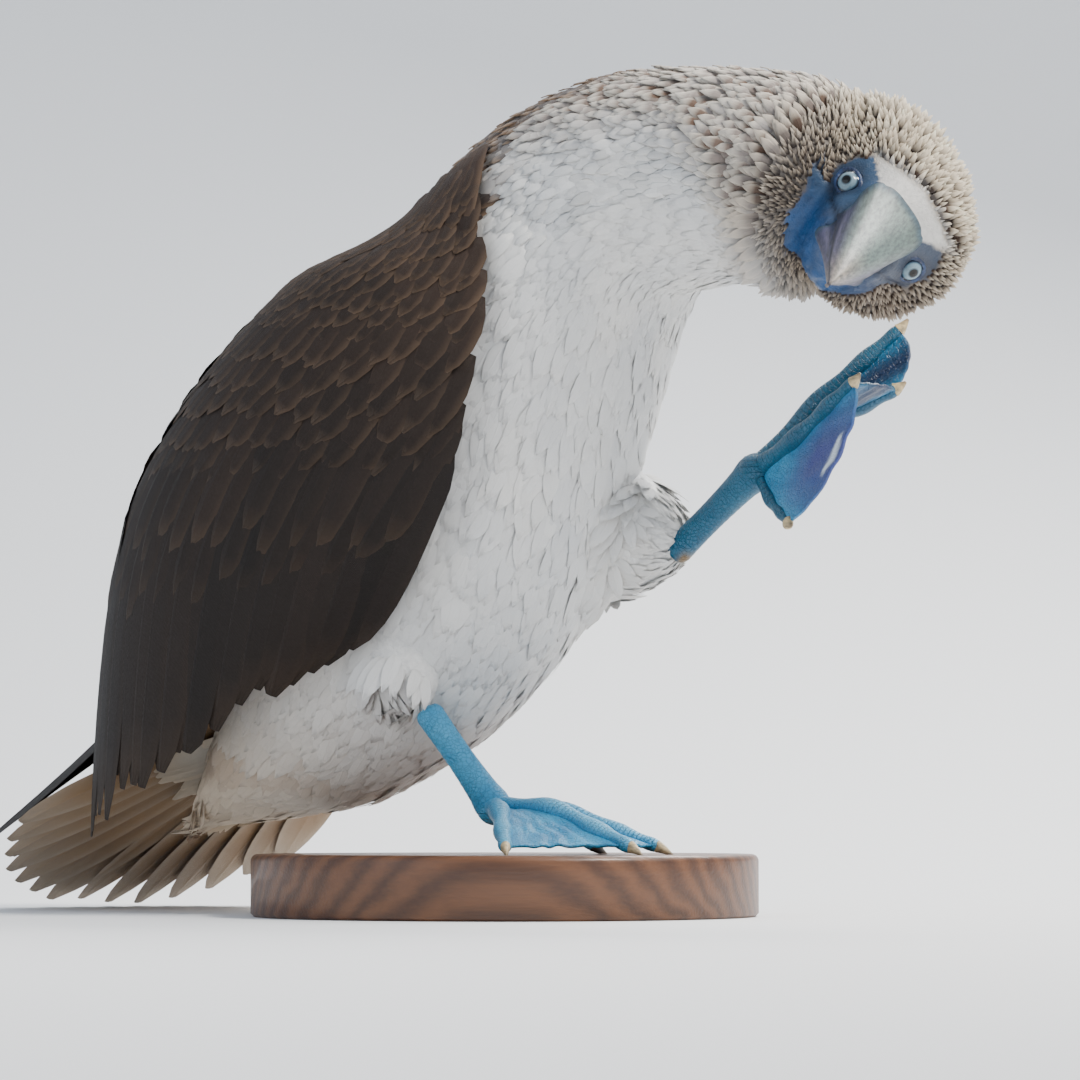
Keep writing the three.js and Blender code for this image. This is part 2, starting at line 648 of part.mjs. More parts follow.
bird.add(meshOf("torso", torsoPart, FINISH.white));
bird.add(meshOf("neck", neckPart.subtract(moved(skullGrown, headPlace)), FINISH.white));
const TOES = ["outer", "middle", "inner", "hind"];
const LEGS = {
  right: {
    leg: STANDING,
    thigh: [[-34, -30, 128], [-22, -38, 108], [-9, -40, 90]],
    width: (u) => lerp(27, 9.5, Math.pow(u, 0.8)),
    claw: { length: 8, curl: -1.4 },
  },
  left: {
    leg: RAISED,
    thigh: [[22, 26, 163], [51, 27, 161], [79, 25, 155]],
    width: (u) => lerp(32, 12, Math.pow(u, 2)),
    claw: { length: 8, curl: 2 },
  },
};
const rump = trunkGrown.intersect(pastSpine(CUTS.tail, 0));
bird.add(meshOf("tail", union([tailPart, ...tailVanes()]).subtract(rump), FINISH.tailBrown));
const WINGS = {
  left: { side: 1, start: 0.35, setBack: 9 },
  right: { side: -1, start: 0.75, setBack: 0 },
};
for (const [side, wing] of Object.entries(WINGS)) {
  const room = thighTube(LEGS[side].thigh, LEGS[side].width, GAP);
  bird.add(meshOf(`wing_${side}`, wingSolid(wing, room), FINISH.brown));
}

const head = new THREE.Group();
head.applyMatrix4(headPlace);
bird.add(head);
head.add(meshOf("head", headSolid(), FINISH.headStreak));
head.add(meshOf("bill_upper", billSolid(true), FINISH.bill));
head.add(meshOf("bill_lower", billSolid(false), FINISH.bill));
for (const [name, sign] of [["eye_left", 1], ["eye_right", -1]])
  head.add(meshOf(name, ballSolid(eyeCentre(sign), Array(3).fill(EYE.radius), 14), FINISH.eye));

for (const [side, { leg, thigh, width, claw }] of Object.entries(LEGS)) {
  const made = legSolids(leg, thigh, width);
  const standing = side === "right";
  const floorBox = boxSolid([-400, -400, -50], [400, 400, floorTop]);
  bird.add(meshOf(`thigh_${side}`, made.thigh, FINISH.white));
  bird.add(meshOf(`shank_${side}`, made.shank, FINISH.blue));
  bird.add(meshOf(`foot_${side}`, standing ? made.foot.subtract(floorBox) : made.foot, FINISH.blue));
  leg.toes.forEach((toe, k) => {
    const solid = clawSolid({ ...toe, hub: leg.hub }, claw);
    bird.add(meshOf(`claw_${side}_${TOES[k]}`, standing ? solid.subtract(floorBox) : solid, FINISH.horn));
  });
}

export default part;
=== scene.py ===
"""A blue-footed booby, life size, on its right leg on a round wooden base, scratching its head.

Shapes are worked out in millimetres in the bird's own frame (+X ahead, +Y to its left, +Z up), which stands
on the base turned clockwise, and are put into the meshes in metres in the part's frame.
"""

import logging
from collections.abc import Callable
from dataclasses import dataclass, field
from enum import Enum

import bpy
import numpy as np
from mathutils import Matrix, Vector

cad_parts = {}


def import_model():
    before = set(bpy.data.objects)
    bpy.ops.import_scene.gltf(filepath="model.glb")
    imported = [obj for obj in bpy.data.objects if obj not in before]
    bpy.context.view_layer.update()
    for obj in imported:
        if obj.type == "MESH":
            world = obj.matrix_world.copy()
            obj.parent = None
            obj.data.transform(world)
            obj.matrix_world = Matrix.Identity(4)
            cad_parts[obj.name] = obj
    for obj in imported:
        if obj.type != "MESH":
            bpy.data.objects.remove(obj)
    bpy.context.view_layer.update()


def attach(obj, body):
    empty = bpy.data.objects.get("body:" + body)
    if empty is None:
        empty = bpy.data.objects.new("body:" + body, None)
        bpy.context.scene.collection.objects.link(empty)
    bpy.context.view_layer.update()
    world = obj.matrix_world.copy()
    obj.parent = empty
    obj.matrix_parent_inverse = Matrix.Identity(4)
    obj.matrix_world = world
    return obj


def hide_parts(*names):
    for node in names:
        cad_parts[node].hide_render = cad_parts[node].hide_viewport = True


LOG = logging.getLogger("booby")
Array = np.ndarray
Colour = tuple[float, float, float]

MM = 0.001
STANCE = np.array([-4.0, 22.0, 0.0])
STANCE_TURN = np.radians(-36.0)
COAT_UV = "OFBake"
PATCH = 0.003
MAP_RIM = 0.01
MAP_SPAN = 0.975
NOISE_ROUGHNESS = 0.55
ROOT_SINK = 0.6
NEAR_BATCH = 20000
WING_RISE = 55.0
WING_PAST = 0.04
LIGHTS_AIM = (0, 0, 0.18)
FIRST_WEB_SEED = 90
INNER_WEB_SEED = 92


class Slot(Enum):
    """The record's material slots."""

    WHITE = "white_plumage"
    HEAD = "head_plumage"
    BROWN = "brown_plumage"
    TAIL = "tail_plumage"
    BLUE = "blue_skin"
    BILL = "bill"
    CLAW = "claw"
    EYE = "eye"
    WOOD = "base_wood"


class Side(Enum):
    """The bird's sides, with the sign of their Y."""

    LEFT = 1.0
    RIGHT = -1.0


def srgb(red: int, green: int, blue: int) -> Colour:
    """A screen colour as the linear values that shaders take.

    Args:
        red: 0 to 255.
        green: 0 to 255.
        blue: 0 to 255.

    Returns:
        Three linear numbers from 0 to 1.
    """
    return tuple(float((c / 255.0) ** 2.2) for c in (red, green, blue))


def pigment(red: int, green: int, blue: int) -> Array:
    """A screen colour as an array of linear values."""
    return np.array(srgb(red, green, blue))


def rotation(turn: float, tip: float, roll: float) -> Array:
    """Rolled about X, then tipped about Y, then turned about Z: the product Rz Ry Rx.

    Args:
        turn: about Z, in degrees.
        tip: about Y, in degrees.
        roll: about X, in degrees.

    Returns:
        A 3 by 3 matrix.
    """
    (ct, st), (cp, sp), (cr, sr) = [(np.cos(a), np.sin(a)) for a in np.radians([turn, tip, roll])]
    rz = np.array([[ct, -st, 0], [st, ct, 0], [0, 0, 1]])
    ry = np.array([[cp, 0, sp], [0, 1, 0], [-sp, 0, cp]])
    rx = np.array([[1, 0, 0], [0, cr, -sr], [0, sr, cr]])
    return rz @ ry @ rx


STANCE_MATRIX = rotation(np.degrees(STANCE_TURN), 0, 0)


def to_part(points: Array) -> Array:
    """From the bird's frame in mm to the part's frame in metres: turned about Z, then moved."""
    return (points @ STANCE_MATRIX.T + STANCE) * MM


def from_part(points: Array) -> Array:
    """From the part's frame in mm to the bird's."""
    return (np.asarray(points, float) - STANCE) @ STANCE_MATRIX


def unit(vectors: Array) -> Array:
    """Vectors scaled to length one."""
    return vectors / np.maximum(np.linalg.norm(vectors, axis=-1, keepdims=True), 1e-9)


def mix(low: Array, high: Array, share: Array) -> Array:
    """Low plus share of the way to high."""
    return low + (high - low) * share


def smoothstep(value: Array, low: float, high: float) -> Array:
    """0 below low, 1 above high, and 3t^2 - 2t^3 between."""
    t = np.clip((value - low) / (high - low), 0, 1)
    return t * t * (3 - 2 * t)


def on_map(across: Array, tall: Array) -> Array:
    """UV places from shares across and up a map, kept off its rim."""
    return MAP_RIM + MAP_SPAN * np.stack([across, tall], -1)


def through(rows: Array, share: Array) -> Array:
    """A smooth curve through rows of numbers.

    Each stretch is the Catmull-Rom cubic of its two rows and the row before and after them.

    Args:
        rows: one row of numbers per knot.
        share: 0 at the first row to 1 at the last.

    Returns:
        The rows' numbers at each share.
    """
    rows = np.asarray(rows, float)
    rows = np.vstack([2 * rows[0] - rows[1], rows, 2 * rows[-1] - rows[-2]])
    last = len(rows) - 4
    place = np.clip(np.asarray(share, float), 0, 1) * (last + 1)
    knot = np.minimum(place.astype(int), last)
    t = (place - knot)[..., None]
    a, b, c, d = (rows[knot + k] for k in range(4))
    return 0.5 * (2 * b + (c - a) * t + (2 * a - 5 * b + 4 * c - d) * t**2 + (3 * b - a - 3 * c + d) * t**3)


def waves(points: Array, size: float, seed: int) -> Array:
    """Soft noise from -1 to 1: a sum of sines along seeded directions.

    Args:
        points: in mm.
        size: rough distance between crests, in mm.
        seed: of the directions.

    Returns:
        One number per point.
    """
    rng = np.random.default_rng(seed)
    total = np.zeros(points.shape[:-1])
    for k in range(7):
        heading = unit(rng.normal(size=3)) * 2 * np.pi / (size * (1.5 - 0.13 * k))
        total += np.sin(points @ heading + rng.uniform(0, 6.3))
    return total / 4.0


@dataclass
class Shell:
    """Points, faces and per-point values on their way into a mesh."""

    points: Array
    faces: Array
    values: dict[str, Array] = field(default_factory=dict)
    uv: Array | None = None

    def joined(self, others: list["Shell"]) -> "Shell":
        """This shell and others as one.

        Args:
            others: shells with the same per-point values.

        Returns:
            A shell with all the points and faces.
        """
        shells = [self, *others]
        starts = np.cumsum([0] + [len(s.points) for s in shells[:-1]])
        return Shell(
            np.concatenate([s.points for s in shells]),
            np.concatenate([s.faces + start for s, start in zip(shells, starts)]),
            {k: np.concatenate([s.values[k] for s in shells]) for k in self.values},
            None if self.uv is None else np.concatenate([s.uv for s in shells]),
        )


def ring_shell(rings: Array) -> Shell:
    """A closed skin of quads over rings of points, with a fan of slivers at each end.

    Args:
        rings: rings by points by three.

    Returns:
        The shell, with its faces outwards when the rings turn clockwise seen along their run.
    """
    count, sides = rings.shape[:2]
    index = np.arange(count * sides).reshape(count, sides)
    turned = np.roll(index, -1, axis=1)
    walls = np.stack([index[:-1], turned[:-1], turned[1:], index[1:]], -1).reshape(-1, 4)
    hubs = np.stack([rings[0].mean(0), rings[-1].mean(0)])
    first, last = count * sides, count * sides + 1
    caps = [
        np.stack([np.full(sides, first), turned[0], index[0], index[0]], -1),
        np.stack([np.full(sides, last), index[-1], turned[-1], turned[-1]], -1),
    ]
    faces = np.concatenate([walls, *caps])
    points = np.concatenate([rings.reshape(-1, 3), hubs])
    shell = Shell(points, faces)
    return shell if volume_of(shell) > 0 else Shell(points, faces[:, ::-1])


def volume_of(shell: Shell) -> float:
    """Signed volume: a sixth of the sum of each triangle's triple product."""
    a, b, c, d = (shell.points[shell.faces[:, k]] for k in range(4))
    return float((np.cross(a, b) * c).sum() + (np.cross(a, c) * d).sum()) / 6


def sweep(path: Array, radius: Array, side: Array, flat: float = 1.0, sides: int = 24) -> Shell:
    """A tube of oval section along a path.

    Each ring is the path's point plus radius times (flat cos, sin) along two directions square to the path.

    Args:
        path: points by three.
        radius: one per point.
        side: the direction that the ring's first axis stays near.
        flat: the section's width over its height.
        sides: points per ring.

    Returns:
        A closed shell.
    """
    ahead = unit(np.gradient(path, axis=0))
    across = unit(side - ahead * (ahead @ side)[:, None])
    up = np.cross(ahead, across)
    angle = np.linspace(0, 2 * np.pi, sides, endpoint=False)
    wide = across[:, None] * (flat * np.cos(angle))[None, :, None]
    spread = wide + up[:, None] * np.sin(angle)[None, :, None]
    return ring_shell(path[:, None] + spread * np.asarray(radius)[:, None, None])


def ball(centre: Array, size: Array, matrix: Array | None = None, sides: int = 40) -> Shell:
    """An ellipsoid: centre plus the matrix times the sizes times a unit sphere by latitude and longitude."""
    lat = np.linspace(0.03, np.pi - 0.03, sides // 2)
    lon = np.linspace(0, 2 * np.pi, sides, endpoint=False)
    grid = np.stack(
        [
            np.cos(lat)[:, None] * np.ones(sides),
            np.sin(lat)[:, None] * np.cos(lon),
            np.sin(lat)[:, None] * np.sin(lon),
        ],
        -1,
    )
    grid = grid * np.asarray(size, float)
    if matrix is not None:
        grid = grid @ matrix.T
    return ring_shell(grid + np.asarray(centre, float))


# Shader nodes


class Flow:
    """A node socket that takes part in sums, so that shader maths reads as an expression."""

    def __init__(self, tree: "Tree", socket: bpy.types.NodeSocket) -> None:
        """Keeps the tree that new nodes go into and the socket.

        Args:
            tree: the material's tree.
            socket: an output.
        """
        self.tree = tree
        self.socket = socket

    def _math(self, operation: str, first: object, second: object = 0.0) -> "Flow":
        """A Math node of one operation."""
        return self.tree.node("ShaderNodeMath", {"operation": operation}, {0: first, 1: second})

    def __add__(self, other: object) -> "Flow":
        """This plus other."""
        return self._math("ADD", self, other)

    __radd__ = __add__

    def __sub__(self, other: object) -> "Flow":
        """This minus other."""
        return self._math("SUBTRACT", self, other)

    def __rsub__(self, other: object) -> "Flow":
        """Other minus this."""
        return self._math("SUBTRACT", other, self)

    def __mul__(self, other: object) -> "Flow":
        """This times other."""
        return self._math("MULTIPLY", self, other)

    __rmul__ = __mul__

    def sine(self) -> "Flow":
        """The sine of this."""
        return self._math("SINE", self)

    def size(self) -> "Flow":
        """This without its sign."""
        return self._math("ABSOLUTE", self)

    def clamp(self) -> "Flow":
        """This kept from 0 to 1."""
        return self.tree.node("ShaderNodeClamp", {}, {"Value": self})

    def step(self, low: float, high: float) -> "Flow":
        """0 below low and 1 above high, smooth between."""
        settings = {"interpolation_type": "SMOOTHSTEP"}
        inputs = {"Value": self, "From Min": low, "From Max": high}
        return self.tree.node("ShaderNodeMapRange", settings, inputs)


class Tree:
    """A new material's nodes."""

    def __init__(self, name: str) -> None:
        """Makes the material with its shader and output.

        Args:
            name: of the material.
        """
        self.material = bpy.data.materials.new(name)
        self.material.use_nodes = True
        self.nodes = self.material.node_tree.nodes
        self.links = self.material.node_tree.links
        self.shader = self.nodes["Principled BSDF"]

    def put(self, socket: bpy.types.NodeSocket, value: object) -> None:
        """Links a flow to an input, or sets the input's own value.

        Args:
            socket: an input.
            value: a flow, a number or a tuple of numbers.
        """
        if isinstance(value, Flow):
            self.links.new(value.socket, socket)
        elif isinstance(value, tuple) and len(value) == 3 and socket.type == "RGBA":
            socket.default_value = (*value, 1.0)
        else:
            socket.default_value = value

    def node(self, kind: str, settings: dict, inputs: dict, output: int | str = 0) -> Flow:
        """Adds a node.

        Args:
            kind: its type name.
            settings: its properties, set first.
            inputs: values or flows by socket name or number.
            output: the socket to read.

        Returns:
            The output as a flow.
        """
        made = self.nodes.new(kind)
        for key, value in settings.items():
            if key == "stops":
                self._stops(made.color_ramp, value)
            else:
                setattr(made, key, value)
        for key, value in inputs.items():
            self.put(made.inputs[key], value)
        return Flow(self, made.outputs[output])

    @staticmethod
    def _stops(ramp: bpy.types.ColorRamp, stops: list[tuple[float, Colour]]) -> None:
        """Sets a ramp's places and colours."""
        while len(ramp.elements) < len(stops):
            ramp.elements.new(1.0)
        for element, (place, colour) in zip(ramp.elements, stops):
            element.position = place
            element.color = (*colour, 1.0)

    def place(self) -> Flow:
        """Object coordinates, which are the part's frame in metres."""
        return self.node("ShaderNodeTexCoord", {}, {}, "Object")

    def value(self, name: str, output: str = "Color") -> Flow:
        """A value kept on the mesh's points."""
        return self.node("ShaderNodeAttribute", {"attribute_name": name}, {}, output)

    def parts(self, vector: Flow) -> tuple[Flow, Flow, Flow]:
        """The three numbers of a vector."""
        split = self.node("ShaderNodeSeparateXYZ", {}, {0: vector}, 0)
        return tuple(Flow(self, split.socket.node.outputs[k]) for k in range(3))

    def noise(self, vector: Flow, scale: float, detail: float) -> Flow:
        """Fractal noise from 0 to 1."""
        inputs = {"Vector": vector, "Scale": scale, "Detail": detail, "Roughness": NOISE_ROUGHNESS}
        return self.node("ShaderNodeTexNoise", {}, inputs, 0)

    def cells(self, vector: Flow, scale: float) -> Flow:
        """Cell pattern: the distance to the nearest cell's edge."""
        settings = {"feature": "DISTANCE_TO_EDGE"}
        return self.node("ShaderNodeTexVoronoi", settings, {"Vector": vector, "Scale": scale}, 0)

    def blend(self, first: object, second: object, share: object) -> Flow:
        """Two colours mixed by a share."""
        settings = {"data_type": "RGBA", "blend_type": "MIX"}
        return self.node("ShaderNodeMix", settings, {0: share, 6: first, 7: second}, 2)

    def bump(self, height: Flow, depth: float) -> Flow:
        """A normal bent by a height in metres times depth."""
        return self.node("ShaderNodeBump", {}, {"Height": height, "Distance": depth, "Strength": 1.0})

    def wear(self, colour: object, rough: object, normal: Flow | None, **fixed: float) -> bpy.types.Material:
        """Wires the shader.

        Args:
            colour: for Base Color.
            rough: for Roughness.
            normal: for Normal, or None.
            fixed: the shader's constant sockets, with _ for a space.

        Returns:
            The material.
        """
        self.put(self.shader.inputs["Base Color"], colour)
        self.put(self.shader.inputs["Roughness"], rough)
        if normal is not None:
            self.put(self.shader.inputs["Normal"], normal)
        for key, number in fixed.items():
            self.shader.inputs[key.replace("_", " ")].default_value = number
        return self.material


@dataclass(frozen=True)
class PlumageFinish:
    """Feathers: painted per point, with barbs that slant away from each shaft."""

    name: str
    barbs: float = 60.0
    relief: float = 0.00012
    rough: float = 0.72
    sheen: float = 0.15
    mottle: float = 0.16

    def material(self) -> bpy.types.Material:
        """The paint, darkened by fine noise; the bump is a sine of along plus slant times across."""
        tree = Tree(self.name)
        paint = tree.value("paint")
        across, along, chance = tree.parts(tree.value("vane", "Vector"))
        place = tree.place()
        grain = tree.noise(place, 900.0, 2.0)
        patches = tree.noise(place, 60.0, 3.0)
        shade = 1.0 - self.mottle * (grain * 0.6 + patches * 0.5 + chance * 0.5)
        dark = tree.blend(paint, (0.0, 0.0, 0.0), (1.0 - shade).clamp())
        stripes = ((along * self.barbs + across.size() * self.barbs * 0.35) * 6.283).sine()
        shaft = 1.0 - across.size().step(0.03, 0.12)
        height = stripes * 0.35 + grain * 0.9 + shaft * 0.8
        rough = (grain * 0.2 + (self.rough - 0.1)).clamp()
        normal = tree.bump(height, self.relief)
        return tree.wear(dark, rough, normal, Sheen_Weight=self.sheen, Specular_IOR_Level=0.3)


@dataclass(frozen=True)
class FaceFinish:
    """Bare blue skin of the face and throat: fine wrinkles and a satin gloss."""

    name: str

    def material(self) -> bpy.types.Material:
        """Paint per point, mottled by noise; wrinkles are cell edges plus noise."""
        tree = Tree(self.name)
        place = tree.place()
        grain = tree.noise(place, 600.0, 4.0)
        wrinkles = tree.cells(place, 900.0)
        colour = tree.blend(tree.value("paint"), (0.02, 0.03, 0.05), (grain * 0.5 - 0.1).clamp())
        return tree.wear(colour, (grain * 0.3 + 0.3).clamp(), tree.bump(wrinkles * 0.5 + grain, 0.0004))


@dataclass(frozen=True)
class LegFinish:
    """Blue leg and web skin: small scales, crosswise plates along the toes, and painted shade in the creases.
    """

    name: str = "blue_leg"
    bright: Colour = srgb(52, 158, 205)
    deep: Colour = srgb(16, 92, 140)
    pale: Colour = srgb(132, 200, 226)

    def material(self) -> bpy.types.Material:
        """Colour runs from deep to bright by noise; a painted highlight makes the upper sides brighter and,
        in patches, paler.
        """
        tree = Tree(self.name)
        place = tree.place()
        along, ridge, kind = tree.parts(tree.value("limb", "Vector"))
        cloud = tree.noise(place, 55.0, 4.0)
        grain = tree.noise(place, 1100.0, 3.0)
        scales = tree.cells(place, 620.0).step(0.0, 0.12)
        plates = ((along * 1.25).sine().size()).step(0.0, 0.35)
        on_toe = (1.0 - kind).clamp()
        relief = scales * 0.5 + plates * on_toe * ridge * 1.6
        # Painted highlight: ridge is 1 on the toes' upper sides, which are painted brighter and paler.
        base = tree.blend(self.deep, self.bright, (cloud * 1.7 - 0.25 + ridge * 0.25).clamp())
        lit = tree.blend(base, self.pale, ((cloud - 0.45) * 1.2 * ridge + 0.25 * ridge * on_toe).clamp())
        # Painted shade: the creases between the scales and plates are painted dark blue.
        creases = ((1.0 - scales) * 0.45 + (1.0 - plates) * on_toe * ridge * 0.3).clamp()
        crease_shaded = tree.blend(lit, (0.01, 0.05, 0.09), creases)
        paint = tree.blend(crease_shaded, tree.value("paint"), tree.value("paint", "Alpha"))
        normal = tree.bump(relief + grain * 0.4, 0.00045)
        return tree.wear(paint, (grain * 0.25 + 0.28).clamp(), normal, Specular_IOR_Level=0.5)


@dataclass(frozen=True)
class HornFinish:
    """Bill and claw horn: painted per point, with faint lengthwise streaks."""

    name: str
    streaks: float = 500.0
    rough: float = 0.46

    def material(self) -> bpy.types.Material:
        """The grain attribute runs along the horn; streaks are noise squeezed across it."""
        tree = Tree(self.name)
        grain = tree.value("grain", "Vector")
        place = tree.place()
        lines = tree.noise(grain, self.streaks, 4.0)
        specks = tree.noise(place, 900.0, 3.0)
        dirt = (lines * 2.4 - 1.0 + specks * 0.15).clamp()
        colour = tree.blend(tree.value("paint"), (0.03, 0.035, 0.04), dirt)
        return tree.wear(
            colour, (lines * 0.25 + self.rough - 0.1).clamp(), tree.bump(lines * 0.6 + specks * 0.4, 0.00025)
        )


@dataclass(frozen=True)
class EyeFinish:
    """A wet eye painted in rings."""

    name: str = "wet_eye"

    def material(self) -> bpy.types.Material:
        """Paint per point under a clear coat, with fine spokes of noise."""
        tree = Tree(self.name)
        fine = tree.noise(tree.place(), 1800.0, 2.0)
        colour = tree.blend(tree.value("paint"), (0.0, 0.0, 0.0), (fine * 0.5 - 0.1).clamp())
        return tree.wear(colour, 0.2, None, Coat_Weight=0.5, Coat_Roughness=0.03, Specular_IOR_Level=0.15)


@dataclass(frozen=True)
class WoodFinish:
    """Oiled dark wood: long grain, pores and growth rings."""

    name: str = "oiled_wood"
    dark: Colour = srgb(58, 36, 24)
    light: Colour = srgb(112, 74, 48)

    def material(self) -> bpy.types.Material:
        """Rings are a sine of a stretched, bent coordinate; pores are short noise streaks."""
        tree = Tree(self.name)
        place = tree.place()
        settings = {"vector_type": "POINT"}
        long = tree.node("ShaderNodeMapping", settings, {"Vector": place, "Scale": (3.0, 26.0, 26.0)})
        bend = tree.noise(long, 1.6, 3.0)
        _, across, up = tree.parts(long)
        rings = ((across + up * 0.6 + bend * 0.5) * 26.0).sine() * 0.5 + 0.5
        streak = tree.node("ShaderNodeMapping", settings, {"Vector": place, "Scale": (40.0, 900.0, 900.0)})
        pores = tree.noise(streak, 1.0, 2.0)
        colour = tree.blend(self.dark, self.light, (rings * 0.55 + pores * 0.4).clamp())
        return tree.wear(colour, (pores * 0.2 + 0.34).clamp(), tree.bump(pores, 0.0002), Coat_Weight=0.15)


def polygons_of(shell: Shell) -> list[list[int]]:
    """Faces as lists of corners: quads first, then slivers, whose last two corners are one, as triangles."""
    slivers = shell.faces[:, 2] == shell.faces[:, 3]
    return shell.faces[~slivers].tolist() + shell.faces[slivers][:, :3].tolist()


def linked(name: str, data: bpy.types.ID) -> bpy.types.Object:
    """A new object for a mesh, a light or a camera, in the scene."""
    holder = bpy.data.objects.new(name, data)
    bpy.context.scene.collection.objects.link(holder)
    return holder


def aim(holder: bpy.types.Object, place: tuple, target: tuple) -> None:
    """Puts a light or a camera at a place, looking at a target."""
    holder.location = place
    holder.rotation_euler = (Vector(target) - Vector(place)).to_track_quat("-Z", "Y").to_euler()


def make_piece(
    name: str, shell: Shell, material: bpy.types.Material, slot: Slot, replaced: list[str]
) -> bpy.types.Object:
    """Puts a shell into a mesh object, dressed, riding on the part.

    Args:
        name: of the piece.
        shell: in the bird's frame in mm, with its values and UV.
        material: its finish.
        slot: the record's slot.
        replaced: the CAD nodes that the piece stands for.

    Returns:
        The object.
    """
    mesh = bpy.data.meshes.new(name)
    mesh.from_pydata(to_part(shell.points).tolist(), [], polygons_of(shell))
    mesh.polygons.foreach_set("use_smooth", np.ones(len(mesh.polygons), bool))
    if "vane" in shell.values and slot is not Slot.HEAD:
        rim = np.abs(shell.values["vane"][:, 0]) > 0.99
        ends = np.empty(len(mesh.edges) * 2, np.int32)
        mesh.edges.foreach_get("vertices", ends)
        crisp = mesh.attributes.new("sharp_edge", "BOOLEAN", "EDGE")
        crisp.data.foreach_set("value", rim[ends.reshape(-1, 2)].all(1))
    for key, value in shell.values.items():
        kind, width = ("FLOAT_COLOR", 4) if value.shape[1] == 4 else ("FLOAT_VECTOR", 3)
        layer = mesh.attributes.new(key, kind, "POINT")
        layer.data.foreach_set("color" if width == 4 else "vector", value.astype(np.float32).ravel())
    if shell.uv is not None:
        corners = np.empty(len(mesh.loops), int)
        mesh.loops.foreach_get("vertex_index", corners)
        layer = mesh.uv_layers.new(name=COAT_UV)
        layer.data.foreach_set("uv", shell.uv[corners].astype(np.float32).ravel())
    mesh.materials.append(material)
    mesh.validate()
    mesh.update()
    piece = linked(name, mesh)
    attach(piece, "root")
    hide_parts(*replaced)
    LOG.info("%s: %d faces", name, len(mesh.polygons))
    return piece


def fused(shells: list[Shell], voxel: float, rounds: int) -> Shell:
    """Closed shells that run into each other as one smooth skin.

    The shells are voxel remeshed together, then each point is moved half way to its neighbours' mean a few
    times.

    Args:
        shells: closed, in mm.
        voxel: in mm.
        rounds: of smoothing.

    Returns:
        One shell of quads, in mm.
    """
    whole = shells[0].joined(shells[1:])
    mesh = bpy.data.meshes.new("fusing")
    mesh.from_pydata((whole.points * MM).tolist(), [], polygons_of(whole))
    thing = linked("fusing", mesh)
    remesh = thing.modifiers.new("skin", "REMESH")
    remesh.mode = "VOXEL"
    remesh.voxel_size = voxel * MM
    smooth = thing.modifiers.new("smooth", "SMOOTH")
    smooth.factor = 0.5
    smooth.iterations = rounds
    done = thing.evaluated_get(bpy.context.evaluated_depsgraph_get()).to_mesh()
    points = np.empty(len(done.vertices) * 3)
    done.vertices.foreach_get("co", points)
    sizes = np.empty(len(done.polygons), int)
    done.polygons.foreach_get("loop_total", sizes)
    corners = np.empty(len(done.loops), int)
    done.loops.foreach_get("vertex_index", corners)
    quads = corners[np.repeat(sizes == 4, sizes)].reshape(-1, 4)
    thing.to_mesh_clear()
    bpy.data.objects.remove(thing)
    bpy.data.meshes.remove(mesh)
    return Shell(points.reshape(-1, 3) / MM, quads)


def normals_of(shell: Shell) -> Array:
    """Each point's normal: the mean of its faces' diagonals' cross products."""
    a, b, c, d = (shell.points[shell.faces[:, k]] for k in range(4))
    face = np.cross(c - a, d - b)
    total = np.zeros_like(shell.points)
    for k in range(4):
        np.add.at(total, shell.faces[:, k], face)
    return unit(total)


def paint_of(colours: Array, alpha: float = 1.0) -> Array:
    """Colours with an alpha column."""
    return np.concatenate([colours, np.full((*colours.shape[:-1], 1), alpha)], -1)


# The body


